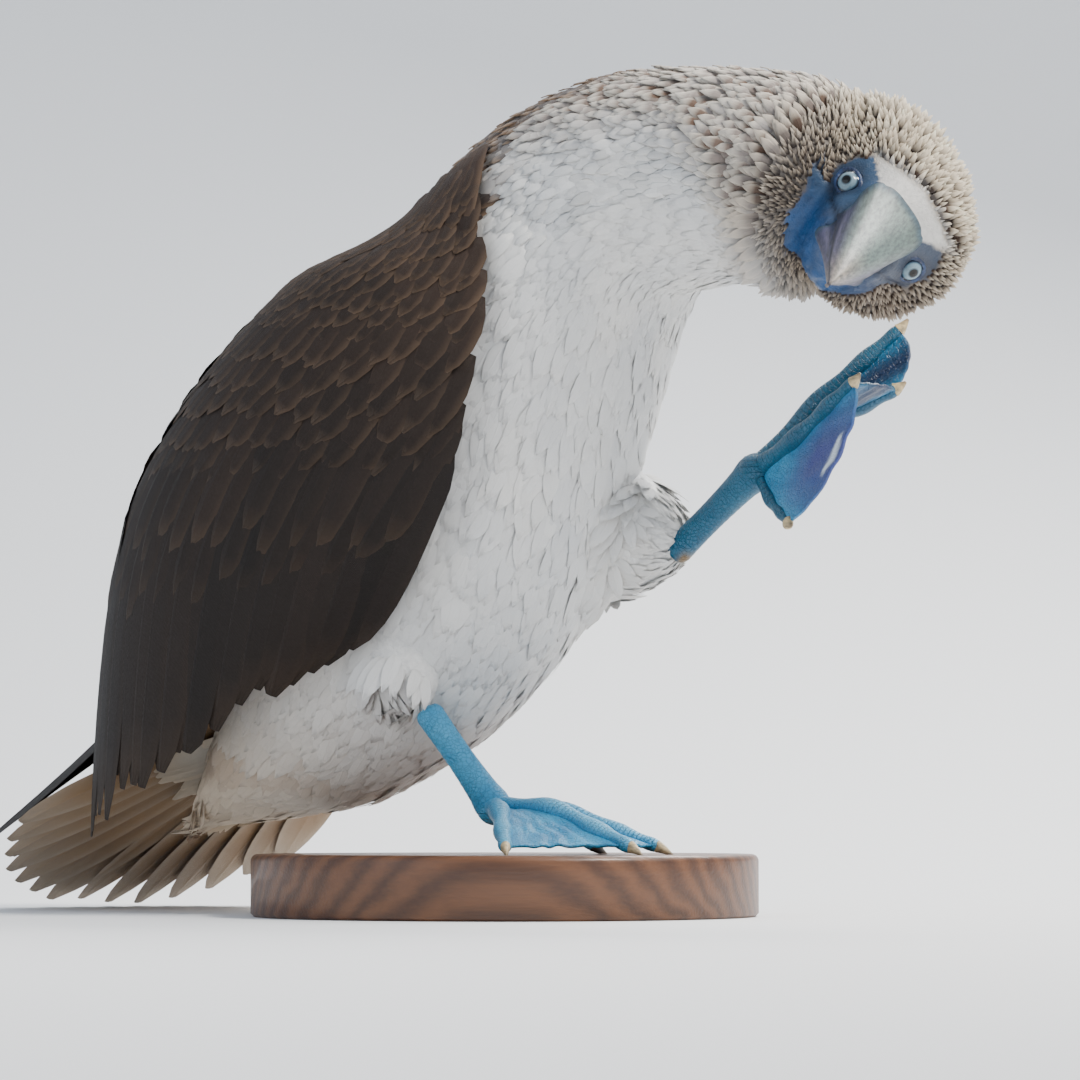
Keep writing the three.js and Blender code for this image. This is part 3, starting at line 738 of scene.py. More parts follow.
class Trunk:
    """The trunk and neck: ovals along a spine in the middle plane.

    Rows are the middle's x and z, then the reach to the back, to the belly and to each side.
    """

    rows = np.array(
        [
            [-160, 40, 3, 4, 9],
            [-146, 47, 10, 10, 24],
            [-124, 63, 22, 27, 38],
            [-96, 88, 40, 53, 50],
            [-69, 122, 54, 76, 60],
            [-42, 164, 60, 89, 66],
            [-16, 206, 64, 84, 68],
            [12, 245, 65, 70, 67],
            [41, 277, 63.5, 56, 62],
            [72, 297, 55.5, 46, 53],
            [105, 303, 47.5, 45, 48],
            [134, 303, 43.5, 45, 46],
            [160, 298, 40.5, 45, 42],
            [180, 291, 27, 26, 29],
        ],
        float,
    )

    def frame(self, share: Array) -> tuple[Array, Array, Array, Array]:
        """The spine at shares of its length.

        Args:
            share: 0 at the tail to 1 in the head.

        Returns:
            Middles, directions ahead, directions to the belly, and rows of the reach back, belly and side.
        """
        at = through(self.rows, share)
        step = through(self.rows, share + 1e-3) - through(self.rows, share - 1e-3)
        flat = np.zeros_like(at[..., 0])
        middle = np.stack([at[..., 0], flat, at[..., 1]], -1)
        ahead = unit(np.stack([step[..., 0], flat, step[..., 1]], -1))
        front = np.stack([ahead[..., 2], flat, -ahead[..., 0]], -1)
        return middle, ahead, front, at[..., 2:]

    def shell(self, inset: float) -> Shell:
        """The trunk as a closed skin.

        Each ring is the middle, plus the reach times the cosine to the belly or back, plus the side times the
        sine.

        Args:
            inset: how far inside the rows, in mm.

        Returns:
            A shell.
        """
        share = np.linspace(0.004, 0.996, 72)
        angle = np.linspace(0, 2 * np.pi, 64, endpoint=False)
        middle, _, front, reach = self.frame(share)
        reach = np.maximum(reach - inset, 1.0)
        cos, sin = np.cos(angle), np.sin(angle)
        fore = np.where(cos > 0, reach[:, 1:2], reach[:, :1]) * cos
        rings = middle[:, None] + front[:, None] * fore[..., None]
        rings[..., 1] += reach[:, 2:3] * sin
        return ring_shell(rings)

    def near(self, points: Array) -> tuple[Array, Array, Array]:
        """Where points lie along and round the trunk.

        Args:
            points: in mm.

        Returns:
            Shares of the spine, angles from the belly line, and distances outside the skin.
        """
        marks = np.linspace(0, 1, 241)
        middle, _, front, reach = self.frame(marks)
        share, angle, gap = (np.empty(len(points)) for _ in range(3))
        for start in range(0, len(points), NEAR_BATCH):
            some = points[start : start + NEAR_BATCH]
            far = (some[:, None, 0] - middle[None, :, 0]) ** 2 + (some[:, None, 2] - middle[None, :, 2]) ** 2
            best = far.argmin(1)
            out = some - middle[best]
            fore = (out * front[best]).sum(1)
            size = np.where(fore > 0, reach[best, 1], reach[best, 0])
            over = np.hypot(fore / size, out[:, 1] / reach[best, 2])
            block = slice(start, start + len(some))
            share[block] = marks[best]
            angle[block] = np.arctan2(out[:, 1] / reach[best, 2], fore / size)
            gap[block] = np.linalg.norm(out, axis=1) * (1 - 1 / np.maximum(over, 1e-6))
        return share, angle, gap

    def cleared(self, points: Array, margin: Array, tuck: Array) -> Array:
        """Points moved straight out from the spine until they are a margin outside the skin.

        Args:
            points: (N, 3).
            margin: the least gap of each.
            tuck: the share of a wider gap that is taken off again.

        Returns:
            The moved points.
        """
        share, _, gap = self.near(points)
        middle = self.frame(share)[0]
        out = unit(points - middle)
        moved = np.maximum(margin - gap, 0) - tuck * np.maximum(gap - margin, 0)
        return points + out * moved[:, None]


TRUNK = Trunk()
HEAD_AT = np.array([200.0, -14.0, 275.6])
HEAD_MATRIX = rotation(-62.4, 14.6, -55.8)
BILL_ROOT = 13.0
EYE_AHEAD = 1.0
EYE_SIDE = 19.0
EYE_RADIUS = 6.6
SKULL_MIDDLE = np.array([18.0, 0.0, 0.0])
SKULL_ROWS = np.array(
    [
        [-50, -12, 6, 9, 9, 9],
        [-47, -12, 6, 20, 20, 24],
        [-38, -10, 5, 27.5, 29, 34],
        [-23, -3, 2.5, 29, 35, 37],
        [-10, 2, -0.5, 27.5, 35.5, 34],
        [0, 1, -2, 24, 32, 24],
        [8, 0, -4, 19, 25, 20],
        [15, 0, -5.5, 17, 19.5, 16],
    ],
    float,
)


def to_head(points: Array) -> Array:
    """From the bird's frame to the head's: +X along the bill, +Y to its left, +Z to the crown."""
    return (points - HEAD_AT) @ HEAD_MATRIX


def from_head(points: Array) -> Array:
    """From the head's frame to the bird's."""
    return points @ HEAD_MATRIX.T + HEAD_AT


def skull_shell() -> Shell:
    """The head as ovals along its own X: side times cosine, up or down times sine."""
    at = through(SKULL_ROWS, np.linspace(0, 1, 40))
    angle = np.linspace(0, 2 * np.pi, 56, endpoint=False)
    cos, sin = np.cos(angle), np.sin(angle)
    tall = np.where(sin > 0, at[:, 3:4], at[:, 4:5]) * sin
    rings = np.stack([at[:, :1] + 0 * sin, at[:, 1:2] + at[:, 5:6] * cos, at[:, 2:3] + tall], -1)
    return ring_shell(from_head(rings))


@dataclass(frozen=True)
class Thigh:
    """A thigh as a tapering tube.

    Attributes:
        path: its middle line.
        wide: radius at the body.
        narrow: radius at the ankle.
        power: how late it narrows.
    """

    path: tuple
    wide: float
    narrow: float
    power: float

    def shell(self) -> Shell:
        """The tube with a rounded end."""
        share = np.linspace(0, 1, 26)
        radius = mix(self.wide, self.narrow, share**self.power) * np.sqrt(np.clip(1.02 - share**14, 0.02, 1))
        return sweep(through(self.path, share), radius, np.array([0.0, 1.0, 0.0]), sides=28)


THIGHS = {
    Side.RIGHT: Thigh(((-34, -30, 128), (-22, -38, 108), (-9, -40, 90)), 27, 9.5, 0.8),
    Side.LEFT: Thigh(((22, 26, 163), (49, 27, 161), (76, 24.5, 155)), 32, 12, 2.0),
}


def round_head(head: Array) -> Array:
    """Degrees round the head's own X from the crown, 0, to the chin, 180, alike on both sides."""
    return np.degrees(np.arctan2(np.abs(head[:, 1]), head[:, 2] + 2))


def bare_edge(head: Array) -> Array:
    """How far inside the bare skin of the face each point lies, in mm; negative is feathered.

    The skin runs forward from an edge behind the eyes, and out to a rim round the throat.

    Args:
        head: points in the head's frame.

    Returns:
        One number per point.
    """
    turn = round_head(head)
    stops = [0, 40, 47, 52, 57, 75, 93, 105, 116, 125]
    ahead = np.interp(turn, stops, [17, 13, 10, 1, -6, -6.5, -5, -5, -9, -13])
    left = smoothstep(head[:, 1], 3, 14)
    ahead = ahead + 3 * left * smoothstep(turn, 50, 62) * (1 - smoothstep(turn, 95, 110))
    rim = np.interp(turn, [0, 100, 116, 136, 149, 166, 180], [40, 36, 30.5, 35.5, 38.0, 38.5, 35.0])
    ragged = 0.9 * waves(head, 8.0, 31)
    rim = rim - 9 * left * smoothstep(turn, 78, 100)
    inside = rim - np.hypot(head[:, 1], head[:, 2] + 2)
    return np.minimum(head[:, 0] - ahead, inside) - ragged


def brow(head: Array) -> Array:
    """1 on the white band of short feathers along the bill's top edge, 0 off it."""
    back = np.interp(round_head(head), [0, 21, 47, 57, 77], [3.0, 3.5, -1.0, -6.0, -7.0])
    reach = smoothstep(head[:, 0] + 0.8 * waves(head, 6, 33), back - 4.6, back - 1.4)
    return reach * (1 - smoothstep(round_head(head), 47, 60))


def head_share(points: Array) -> Array:
    """1 on the head, falling to 0 down the neck: by the distance from the head's middle."""
    head = to_head(points)
    middle = head + SKULL_MIDDLE
    return 1 - smoothstep(np.linalg.norm(middle, axis=1), 36, 66)


class Tones:
    """The coat's colours."""

    white = pigment(240, 238, 233)
    grey = pigment(206, 210, 214)
    cream = pigment(236, 226, 208)
    tan = pigment(176, 143, 112)
    bronze = pigment(92, 70, 56)
    umber = pigment(56, 43, 37)
    night = pigment(24, 20, 19)
    slate = pigment(44, 70, 98)
    azure = pigment(22, 78, 130)
    ink = pigment(22, 34, 54)


TONES = Tones()


def mantle_border(back: Array) -> Array:
    """How far up the neck the brown of the back reaches, by the angle from the breast."""
    return np.interp(back, [1.5, 1.7, 1.85, 2.3, 2.55, 3.14], [0.5, 0.625, 0.655, 0.67, 0.71, 0.78])


def body_paint(points: Array) -> tuple[Array, Array]:
    """The coat's colours at points on the trunk, neck, head and thighs.

    The back is brown, the belly white, the neck streaked cream over tan, and the head cream tips over brown,
    with painted shade darkening the tips below the crown.

    Args:
        points: in the bird's frame in mm.

    Returns:
        The colours at the roots and at the tips.
    """
    share, angle, _ = TRUNK.near(points)
    back = np.abs(angle)
    soft = waves(points, 26, 5)
    fine = waves(points, 8, 6)
    on_head = head_share(points)[:, None]
    white = TONES.white
    belly = mix(white, TONES.grey, np.clip(0.25 + 0.2 * soft, 0, 1)[:, None])
    near_head = smoothstep(share, 0.78, 0.94)
    neck = smoothstep(share, 0.6, 0.72) * smoothstep(back + 1.1 * near_head, 1.75, 2.35)
    nape_tip = mix(belly, TONES.cream, (neck * 0.9)[:, None])
    streaked = (neck * np.clip(0.8 + 0.3 * fine, 0, 1))[:, None]
    nape_root = mix(belly * 0.97, TONES.bronze * 1.3, streaked)
    border = mantle_border(back)
    mantle = (1 - smoothstep(share + 0.012 * fine, border - 0.012, border + 0.012)) * smoothstep(
        back - 0.9 * (1 - smoothstep(share, 0.2, 0.38)), 1.5, 1.75
    )
    vent = 1 - smoothstep(share, 0.12, 0.36)
    warm = pigment(220, 196, 164)
    smudge = vent * smoothstep(waves(points, 30, 9), 0.1, 0.8)
    tip = mix(nape_tip, warm, (vent * 0.85)[:, None])
    root = mix(nape_root, warm * 0.92, (vent * 0.85)[:, None])
    tip = mix(tip, TONES.tan, (smudge * 0.45)[:, None])
    root = mix(root, TONES.tan, (smudge * 0.5)[:, None])
    tip = mix(tip, TONES.tan * 0.8, mantle[:, None])
    root = mix(root, TONES.umber, mantle[:, None])
    head = to_head(points)
    streak = np.clip(0.5 + 0.6 * waves(head, 7, 12) + 0.25 * waves(head, 16, 14), 0, 1)[:, None]
    head_root = mix(TONES.bronze, TONES.umber, streak) * 0.6
    head_tip = mix(pigment(255, 240, 212), TONES.tan, streak * 0.26)
    # Painted shade: tips away from the crown are painted darker and browner, as if the crown were lit from
    # above.
    crown = smoothstep(head[:, 2], -14, 22)[:, None]
    head_tip = mix(mix(head_tip, pigment(128, 108, 94), 0.62), head_tip, crown)
    band = brow(head)[:, None]
    head_root = mix(head_root, white * 0.9, band)
    head_tip = mix(head_tip, white, band)
    return mix(root, head_root, on_head), mix(tip, head_tip, on_head)


def face_paint(head: Array) -> Array:
    """The bare face: slate blue by the eyes and bill, brighter blue on the throat, ink in the grooves, and
    painted shade on its left side.

    Args:
        head: points in the head's frame.

    Returns:
        Colours.
    """
    throat = smoothstep(-head[:, 2], 6, 22)[:, None]
    cloud = np.clip(0.5 + 0.5 * waves(head, 7, 21), 0, 1)[:, None]
    skin = mix(TONES.slate, TONES.azure, throat)
    skin = mix(skin, skin * 0.62, cloud * 0.8)
    pale = smoothstep(head[:, 0], 6, 14)[:, None] * smoothstep(-head[:, 2], 2, 10)[:, None]
    skin = mix(skin, pigment(112, 122, 150), pale * 0.25 * cloud)
    eye = np.abs(head) - np.array([0, EYE_SIDE + 3.5, 0])
    ring = np.linalg.norm(eye - np.array([EYE_AHEAD + 2, 0, 0]), axis=1)
    skin = mix(skin, TONES.ink, (1 - smoothstep(ring, 6.5, 10.5))[:, None] * 0.55)
    # Painted shade: the left side of the face is painted darker grey, as if it lay in shadow.
    skin = mix(skin, pigment(50, 50, 58), (smoothstep(head[:, 1], 6, 15) * 0.55)[:, None])
    return mix(skin, TONES.ink, gape_line(head)[:, None] * 0.9)


def gape_line(head: Array) -> Array:
    """1 in the groove that runs on from the mouth to below the eye, 0 a millimetre off it."""
    line = -9.5 + 0.012 * (head[:, 0] - BILL_ROOT) ** 2
    off = np.abs(head[:, 2] - line)
    along = smoothstep(head[:, 0], -10, -4)
    return np.exp(-((off / 1.0) ** 2)) * along * (np.abs(head[:, 1]) > 6)


def shaped_skin() -> tuple[Shell, Array]:
    """The trunk, head and thighs as one skin, with the face's folds pressed in and its colours.

    Returns:
        The shell with its paint, and its points' normals.
    """
    parts = [TRUNK.shell(2.2), skull_shell(), *(thigh.shell() for thigh in THIGHS.values())]
    skin = fused(parts, 1.75, 8)
    normal = normals_of(skin)
    head = to_head(skin.points)
    bare = bare_edge(head)
    face = smoothstep(bare, -0.8, 0.9) * (head_share(skin.points) > 0.5)
    wrinkle = 0.45 * np.sin(waves(head, 11, 41) * 7) * smoothstep(-head[:, 2], 8, 16)
    spot = np.array([10.0, 17.5, 1.0])
    off = np.linalg.norm((np.abs(head) * [0, 1, 0] + head * [1, 0, 1]) - spot, axis=1)
    lore = 1.6 * np.exp(-((off / 5.0) ** 2))
    depth = face * (wrinkle - 1.3 * gape_line(head) - lore)
    skin.points = skin.points + normal * (depth + 0.35 * waves(skin.points, 22, 3) * (1 - face))[:, None]
    root, tip = body_paint(skin.points)
    under = mix(root, tip, 0.35) * (1 - 0.35 * head_share(skin.points))[:, None]
    colours = mix(under, face_paint(head), face[:, None])
    skin.values["paint"] = paint_of(np.clip(colours, 0, 1))
    return skin, normals_of(skin)


# Feathers

TOP = (1.0, 0.5, -0.5, -1.0)
FINE_TOP = (1.0, 0.62, 0.2, 0.05, -0.05, -0.2, -0.62, -1.0)


@dataclass
class Vanes:
    """A batch of feathers as closed thin leaves.

    Attributes:
        path: feathers by rings by three, each feather's middle line.
        up: the same, the side that shows.
        half: feathers by rings, half widths.
        root_paint: a colour per feather.
        tip_paint: a colour per feather.
        thick: in mm.
        camber: how much the edges drop, as a share of the half width.
        fringe: how much of the tip's colour runs along the edges.
        fade: the share of the length where the tip's colour starts and where it is full.
        shaft: how far a shaft stands out, in mm, on leaves with fine sections.
        top: places across of the section's upper points.
        uv: a root place per feather.
        chance: a number from 0 to 1 per feather.
    """

    path: Array
    up: Array
    half: Array
    root_paint: Array
    tip_paint: Array
    thick: float = 0.35
    camber: float = 0.3
    fringe: float = 0.0
    fade: tuple[float, float] = (0.3, 0.95)
    shaft: float = 0.0
    top: tuple = TOP
    uv: Array | None = None
    chance: Array | None = None

    def shell(self) -> Shell:
        """All the feathers as one shell.

        A section is the places across times the half width, its top raised by camber times (1 - across^2),
        and its underside the same, one thickness lower.
        """
        count, rings = self.half.shape
        across = np.array([*self.top, *self.top[-2:0:-1]])
        under = np.array([0.0] * len(self.top) + [1.0] * (len(self.top) - 2))
        sides = len(across)
        ahead = unit(np.gradient(self.path, axis=1))
        aside = unit(np.cross(self.up, ahead))
        over = np.cross(ahead, aside)
        rise = self.camber * (1 - across**2) * self.half[..., None] - under * self.thick
        ridge = self.shaft * np.exp(-((across / 0.08) ** 2)) * (1 - 2 * under)
        rise = rise + ridge * np.minimum(self.half, 4)[..., None] / 4
        wide = aside[:, :, None] * (self.half[..., None] * across)[..., None]
        spread = wide + over[:, :, None] * rise[..., None]
        points = self.path[:, :, None] + spread
        index = np.arange(rings * sides).reshape(rings, sides)
        turned = np.roll(index, -1, axis=1)
        walls = np.stack([index[:-1], turned[:-1], turned[1:], index[1:]], -1).reshape(-1, 4)
        fan = [(0, k, k + 1, k + 2) for k in range(1, sides - 2, 2)]
        near, far = np.array(fan)[:, ::-1], np.array(fan) + (rings - 1) * sides
        pattern = np.concatenate([walls, near, far])
        sample = Shell(points[0].reshape(-1, 3), pattern)
        if volume_of(sample) < 0:
            pattern = pattern[:, ::-1]
        faces = (np.arange(count)[:, None, None] * rings * sides + pattern).reshape(-1, 4)
        along = np.broadcast_to(np.linspace(0, 1, rings)[None, :, None], (count, rings, sides))
        edge = smoothstep(np.abs(across), 0.5, 1.0)[None, None] * self.fringe
        reach = np.clip(smoothstep(along, *self.fade) + edge * smoothstep(along, 0.1, 0.5), 0, 1)[..., None]
        paint = mix(self.root_paint[:, None, None], self.tip_paint[:, None, None], reach)
        chance = np.zeros(count) if self.chance is None else self.chance
        place = np.stack(
            [
                np.broadcast_to(across, (count, rings, sides)),
                along,
                np.broadcast_to(chance[:, None, None], (count, rings, sides)),
            ],
            -1,
        )
        values = {"paint": paint_of(np.clip(paint, 0, 1)).reshape(-1, 4), "vane": place.reshape(-1, 3)}
        root = np.zeros((count, 2)) if self.uv is None else self.uv
        uv = root[:, None, None] + np.stack([place[..., 0] * 0.5, place[..., 1]], -1) * PATCH
        return Shell(points.reshape(-1, 3), faces, values, np.clip(uv, 0, 1).reshape(-1, 2))


@dataclass
class Tufts:
    """Feathers that grow from a surface at roots and bend towards it.

    Attributes:
        root: points on the surface.
        normal: the surface's normals.
        lie: the way they lie along the surface.
        length: in mm.
        width: in mm.
        lift: degrees off the surface at the root.
        bend: degrees less at the tip.
    """

    root: Array
    normal: Array
    lie: Array
    length: Array
    width: Array
    lift: Array
    bend: Array

    def vanes(self, rings: int, outline: tuple, sink: float, **rest: object) -> Vanes:
        """Leaves for the tufts.

        The path's angle off the surface falls evenly from lift to lift minus bend; its points are the running
        sum of steps along the lie times cosine plus the normal times sine.

        Args:
            rings: points along each.
            outline: half widths from root to tip, as shares of the width's half.
            sink: how deep the roots start, in mm.
            rest: the leaves' other fields.

        Returns:
            The leaves.
        """
        share = np.linspace(0, 1, rings)
        slope = np.radians(self.lift[:, None] - self.bend[:, None] * share)
        step = self.length[:, None] / (rings - 1)
        ahead = np.cumsum(np.cos(slope) * step, 1) - np.cos(slope[:, :1]) * step
        rise = np.cumsum(np.sin(slope) * step, 1) - np.sin(slope[:, :1]) * step - sink
        lie, normal = self.lie[:, None], self.normal[:, None]
        path = self.root[:, None] + lie * ahead[..., None] + normal * rise[..., None]
        up = normal * np.cos(slope)[..., None] - lie * np.sin(slope)[..., None]
        shape = np.interp(share, np.linspace(0, 1, len(outline)), outline)
        return Vanes(path, up, self.width[:, None] * 0.5 * shape, **rest)


SPIKE = (0.75, 1.0, 0.72, 0.08)
LEAF = (0.35, 0.8, 1.0, 0.96, 0.7, 0.12)
SOFT = (0.4, 0.9, 1.0, 0.72, 0.06)
BLADE = (0.5, 0.85, 1.0, 1.0, 1.0, 1.0, 1.0, 0.98, 0.93, 0.82, 0.6, 0.2)


class Roots:
    """Places on the skin where feathers grow."""

    def __init__(self, skin: Shell, normal: Array) -> None:
        """Measures the skin's quads.

        Args:
            skin: the fused shell.
            normal: its points' normals.
        """
        corner = [skin.points[skin.faces[:, k]] for k in range(4)]
        self.corners = np.stack(corner, 1)
        self.normals = normal[skin.faces]
        middle = self.corners.mean(1)
        self.area = 0.5 * np.linalg.norm(np.cross(corner[2] - corner[0], corner[3] - corner[1]), axis=1)
        self.share, self.angle, _ = TRUNK.near(middle)
        self.head = head_share(middle)
        self.bare = bare_edge(to_head(middle))

    def sample(self, where: Array, spacing: float, seed: int) -> tuple[Array, Array, Array]:
        """Spread roots: random points on the wanted quads, one kept in each cell of a grid.

        Args:
            where: true for each quad that takes part.
            spacing: the grid's cell in mm.
            seed: of the draw.

        Returns:
            The roots, their normals and their quads.
        """
        rng = np.random.default_rng(seed)
        chosen = np.flatnonzero(where)
        count = int(4 * self.area[chosen].sum() / spacing**2)
        pick = rng.choice(chosen, count, p=self.area[chosen] / self.area[chosen].sum())
        a, b = rng.random((2, count, 1))
        weight = [(1 - a) * (1 - b), a * (1 - b), a * b, (1 - a) * b]
        points = sum(w * self.corners[pick, k] for k, w in enumerate(weight))
        normals = unit(sum(w * self.normals[pick, k] for k, w in enumerate(weight)))
        cell = np.floor(points / spacing + rng.random(3)).astype(np.int64)
        key = (cell[:, 0] * 4001 + cell[:, 1]) * 4001 + cell[:, 2]
        _, first = np.unique(key, return_index=True)
        return points[first], normals[first], pick[first]


def on_thigh(points: Array) -> Array:
    """1 on the thighs and 0 on the trunk, by the distance outside the trunk."""
    share, _, gap = TRUNK.near(points)
    return smoothstep(gap, 2, 9) * (1 - smoothstep(share, 0.5, 0.56))


def lie_of(points: Array, normals: Array, on_head: Array) -> Array:
    """The way feathers lie: back from the bill on the head, towards the tail on the body.

    Args:
        points: roots.
        normals: of the skin.
        on_head: 1 on the head to 0 on the body.

    Returns:
        Directions along the skin.
    """
    share, _, _ = TRUNK.near(points)
    back = -TRUNK.frame(share)[1]
    head_back = unit(to_head(points) * np.array([0.0, 0.35, 0.35]) + np.array([-26.0, 0, 0])) @ HEAD_MATRIX.T
    paths = [THIGHS[side].path for side in (Side.LEFT, Side.RIGHT)]
    down = [unit(np.subtract(path[-1], path[0])) for path in paths]
    leg = np.where(points[:, 1:2] > 0, down[0], down[1])
    flow = mix(mix(back, leg, on_thigh(points)[:, None]), head_back, on_head[:, None])
    flow = flow + 0.12 * np.stack([waves(points, 40, s) for s in (51, 52, 53)], -1)
    return unit(flow - normals * (flow * normals).sum(1, keepdims=True))


def unwrapped(points: Array, on_head: bool) -> Array:
    """Each root's place on a map of the skin's own shape, kept off the map's rim.

    The body unwraps by share of the spine and angle round it, the head by its own longitude and latitude.
    """
    if on_head:
        head = to_head(points) + SKULL_MIDDLE
        angle = np.arctan2(head[:, 1], head[:, 2])
        tall = np.arccos(np.clip(head[:, 0] / np.linalg.norm(head, axis=1), -1, 1)) / np.pi
    else:
        tall, angle, _ = TRUNK.near(points)
    return on_map(angle / (2 * np.pi) + 0.5, tall)


@dataclass(frozen=True)
class Coat:
    """One stretch of the coat.

    Attributes:
        name: of the piece.
        slot: the record's slot.
        replaces: the CAD nodes it stands for.
        where: which quads of the skin it grows on.
        spacing: between roots, in mm.
        length: in mm.
        width: in mm.
        lift: degrees off the skin.
        bend: degrees that it comes back down.
        outline: half widths from root to tip.
        rings: points along each feather.
        thick: in mm.
        fringe: how far the tip's colour runs along the edges.
        fade: where the tip's colour starts and is full.
        head: whether it is mapped by the head.
        tint: how much feathers differ.
        seed: of the draws.
        size: a scale of the feathers by root, or None.
        stand: a scale of the lift by root, or None.
        camber: how much the edges drop.
    """

    name: str
    slot: Slot
    replaces: tuple[str, ...]
    where: Callable[[Roots], Array]
    spacing: float
    length: float
    width: float
    lift: float
    bend: float
    outline: tuple = LEAF
    rings: int = 6
    thick: float = 0.3
    fringe: float = 0.5
    fade: tuple[float, float] = (0.35, 1.0)
    head: bool = False
    tint: float = 0.1
    seed: int = 1
    size: Callable[[Array], Array] | None = None
    stand: Callable[[Array], Array] | None = None
    camber: float = 0.3

    def laid(self, vanes: Vanes, points: Array, normals: Array) -> Vanes:
        """Feathers bent with the trunk, so that each point keeps its height over the skin at the root.

        Args:
            vanes: straight ones.
            points: their roots.
            normals: the skin's, at the roots.

        Returns:
            The same leaves, moved.
        """
        count, rings = vanes.half.shape
        root_gap = TRUNK.near(points)[2]
        keep = (1 - smoothstep(root_gap, 0.5, 3.0)) * (1 - smoothstep(head_share(points), 0.1, 0.5))
        level = ((vanes.path - points[:, None]) * normals[:, None]).sum(2)
        share, _, gap = TRUNK.near(vanes.path.reshape(-1, 3))
        out = unit(vanes.path - TRUNK.frame(share)[0].reshape(count, rings, 3))
        wanted = root_gap[:, None] + level
        moved = (wanted - gap.reshape(count, rings)) * keep[:, None]
        vanes.path = vanes.path + out * np.clip(moved, -6, 6)[..., None]
        return vanes

    def grow(self, roots: Roots) -> Shell:
        """Draws the roots and makes the feathers.

        Args:
            roots: the skin.

        Returns:
            One shell.
        """
        points, normals, quads = roots.sample(self.where(roots), self.spacing, self.seed)
        rng = np.random.default_rng(self.seed + 1000)
        count = len(points)
        on_head = roots.head[quads]
        lie = lie_of(points, normals, on_head)
        side = np.cross(normals, lie)
        lie = unit(lie + side * rng.normal(0, 0.16, (count, 1)))
        scale = rng.uniform(0.8, 1.2, count) * (1 if self.size is None else self.size(points))
        stand = np.ones(count) if self.stand is None else self.stand(points)
        loose = 0.3 if self.lift > 20 else 0.1
        lift = self.lift * rng.uniform(1 - loose, 1 + loose, count) * stand
        tufts = Tufts(points, normals, lie, self.length * scale, self.width * scale, lift, self.bend * stand)
        root_paint, tip_paint = body_paint(points)
        shade = 1 + self.tint * rng.normal(0, 1, (count, 1))
        vanes = tufts.vanes(
            self.rings,
            self.outline,
            ROOT_SINK,
            root_paint=root_paint * shade,
            tip_paint=tip_paint * shade,
            thick=self.thick,
            camber=self.camber,
            fringe=self.fringe,
            fade=self.fade,
            uv=unwrapped(points, self.head),
            chance=rng.random(count),
        )
        return self.laid(vanes, points, normals).shell()


def head_size(points: Array) -> Array:
    """Locks are short round the face, shortest on the brow, and long at the nape."""
    head = to_head(points)
    face = smoothstep(-bare_edge(head), 0, 26)
    nape = smoothstep(-head[:, 0], 14, 46)
    return (0.55 + 0.5 * face + 0.25 * nape) * (1 - 0.6 * brow(head))


def head_stand(points: Array) -> Array:
    """Locks stand up, but lie flat on the brow."""
    return 1 - 0.75 * brow(to_head(points))


def nape_stand(points: Array) -> Array:
    """Scales stand out on the back of the neck and by the head, and lie flat on its sides."""
    share, angle, _ = TRUNK.near(points)
    return 0.25 + 0.75 * smoothstep(np.abs(angle) + 1.1 * smoothstep(share, 0.78, 0.94), 1.5, 2.3)


def thigh_size(points: Array) -> Array:
    """Feathers are finer on the thighs, by how far they stand off the trunk."""
    return 1 - 0.5 * on_thigh(points)


def thigh_stand(points: Array) -> Array:
    """Feathers stand looser on the thighs."""
    share, _, gap = TRUNK.near(points)
    return 1 + 0.4 * smoothstep(gap, 0, 4) * (1 - smoothstep(share, 0.5, 0.56))


def neck_part(roots: Roots) -> Array:
    """True on the feathered skin between the trunk and the head."""
    return (roots.head <= 0.62) & (roots.share > 0.62) & (roots.bare < 0.2)


SOFT_LEAVES = {"outline": SOFT, "rings": 5, "fringe": 0.3, "fade": (0.3, 0.95)}
COATS = (
    Coat(
        "head_locks", Slot.HEAD, ("head",), lambda r: (r.head > 0.6) & (r.bare < 1.0),
        spacing=1.85, length=7.8, width=2.55, lift=52, bend=26,
        outline=SPIKE, rings=4, thick=0.8, fringe=0.0, fade=(0.4, 0.85), head=True, tint=0.12, seed=11,
        size=head_size, stand=head_stand,
    ),
    Coat(
        "nape_scales", Slot.HEAD, ("head", "neck"), lambda r: neck_part(r) & (np.abs(r.angle) > 1.15),
        spacing=3.2, length=11.0, width=4.8, lift=24, bend=18,
        outline=SOFT, rings=5, thick=0.45, fringe=0.5, fade=(0.45, 0.95), tint=0.06, seed=12,
        stand=nape_stand,
    ),
    Coat(
        "neck_feathers", Slot.WHITE, ("neck",), lambda r: neck_part(r) & (np.abs(r.angle) <= 1.2),
        spacing=3.0, length=13.0, width=4.8, lift=15.0, bend=13.0,
        **SOFT_LEAVES, thick=0.1, tint=0.012, seed=13, camber=0.1,
    ),
    Coat(
        "breast_feathers", Slot.WHITE, ("torso",),
        lambda r: (r.share <= 0.64) & (r.share > 0.3) & (np.abs(r.angle) < 1.75),
        spacing=4.15, length=19.5, width=6.7, lift=13.0, bend=12.0,
        **SOFT_LEAVES, thick=0.1, tint=0.01, seed=14, size=thigh_size, stand=thigh_stand, camber=0.1,
    ),
    Coat(
        "vent_feathers", Slot.WHITE, ("torso", "thigh_left", "thigh_right"),
        lambda r: (r.share <= 0.31) & (r.share > 0.035),
        spacing=3.9, length=20.0, width=6.2, lift=13.0, bend=12.0,
        **SOFT_LEAVES, thick=0.12, tint=0.015, seed=15, size=thigh_size, stand=thigh_stand, camber=0.12,
    ),
    Coat(
        "mantle_feathers", Slot.BROWN, ("torso",),
        lambda r: (r.share <= mantle_border(np.abs(r.angle))) & (r.share > 0.3) & (np.abs(r.angle) >= 1.7),
        spacing=4.6, length=17.0, width=9.0, lift=12, bend=11,
        outline=LEAF, rings=6, thick=0.3, fringe=0.9, fade=(0.7, 1.0), tint=0.1, seed=16,
    ),
)


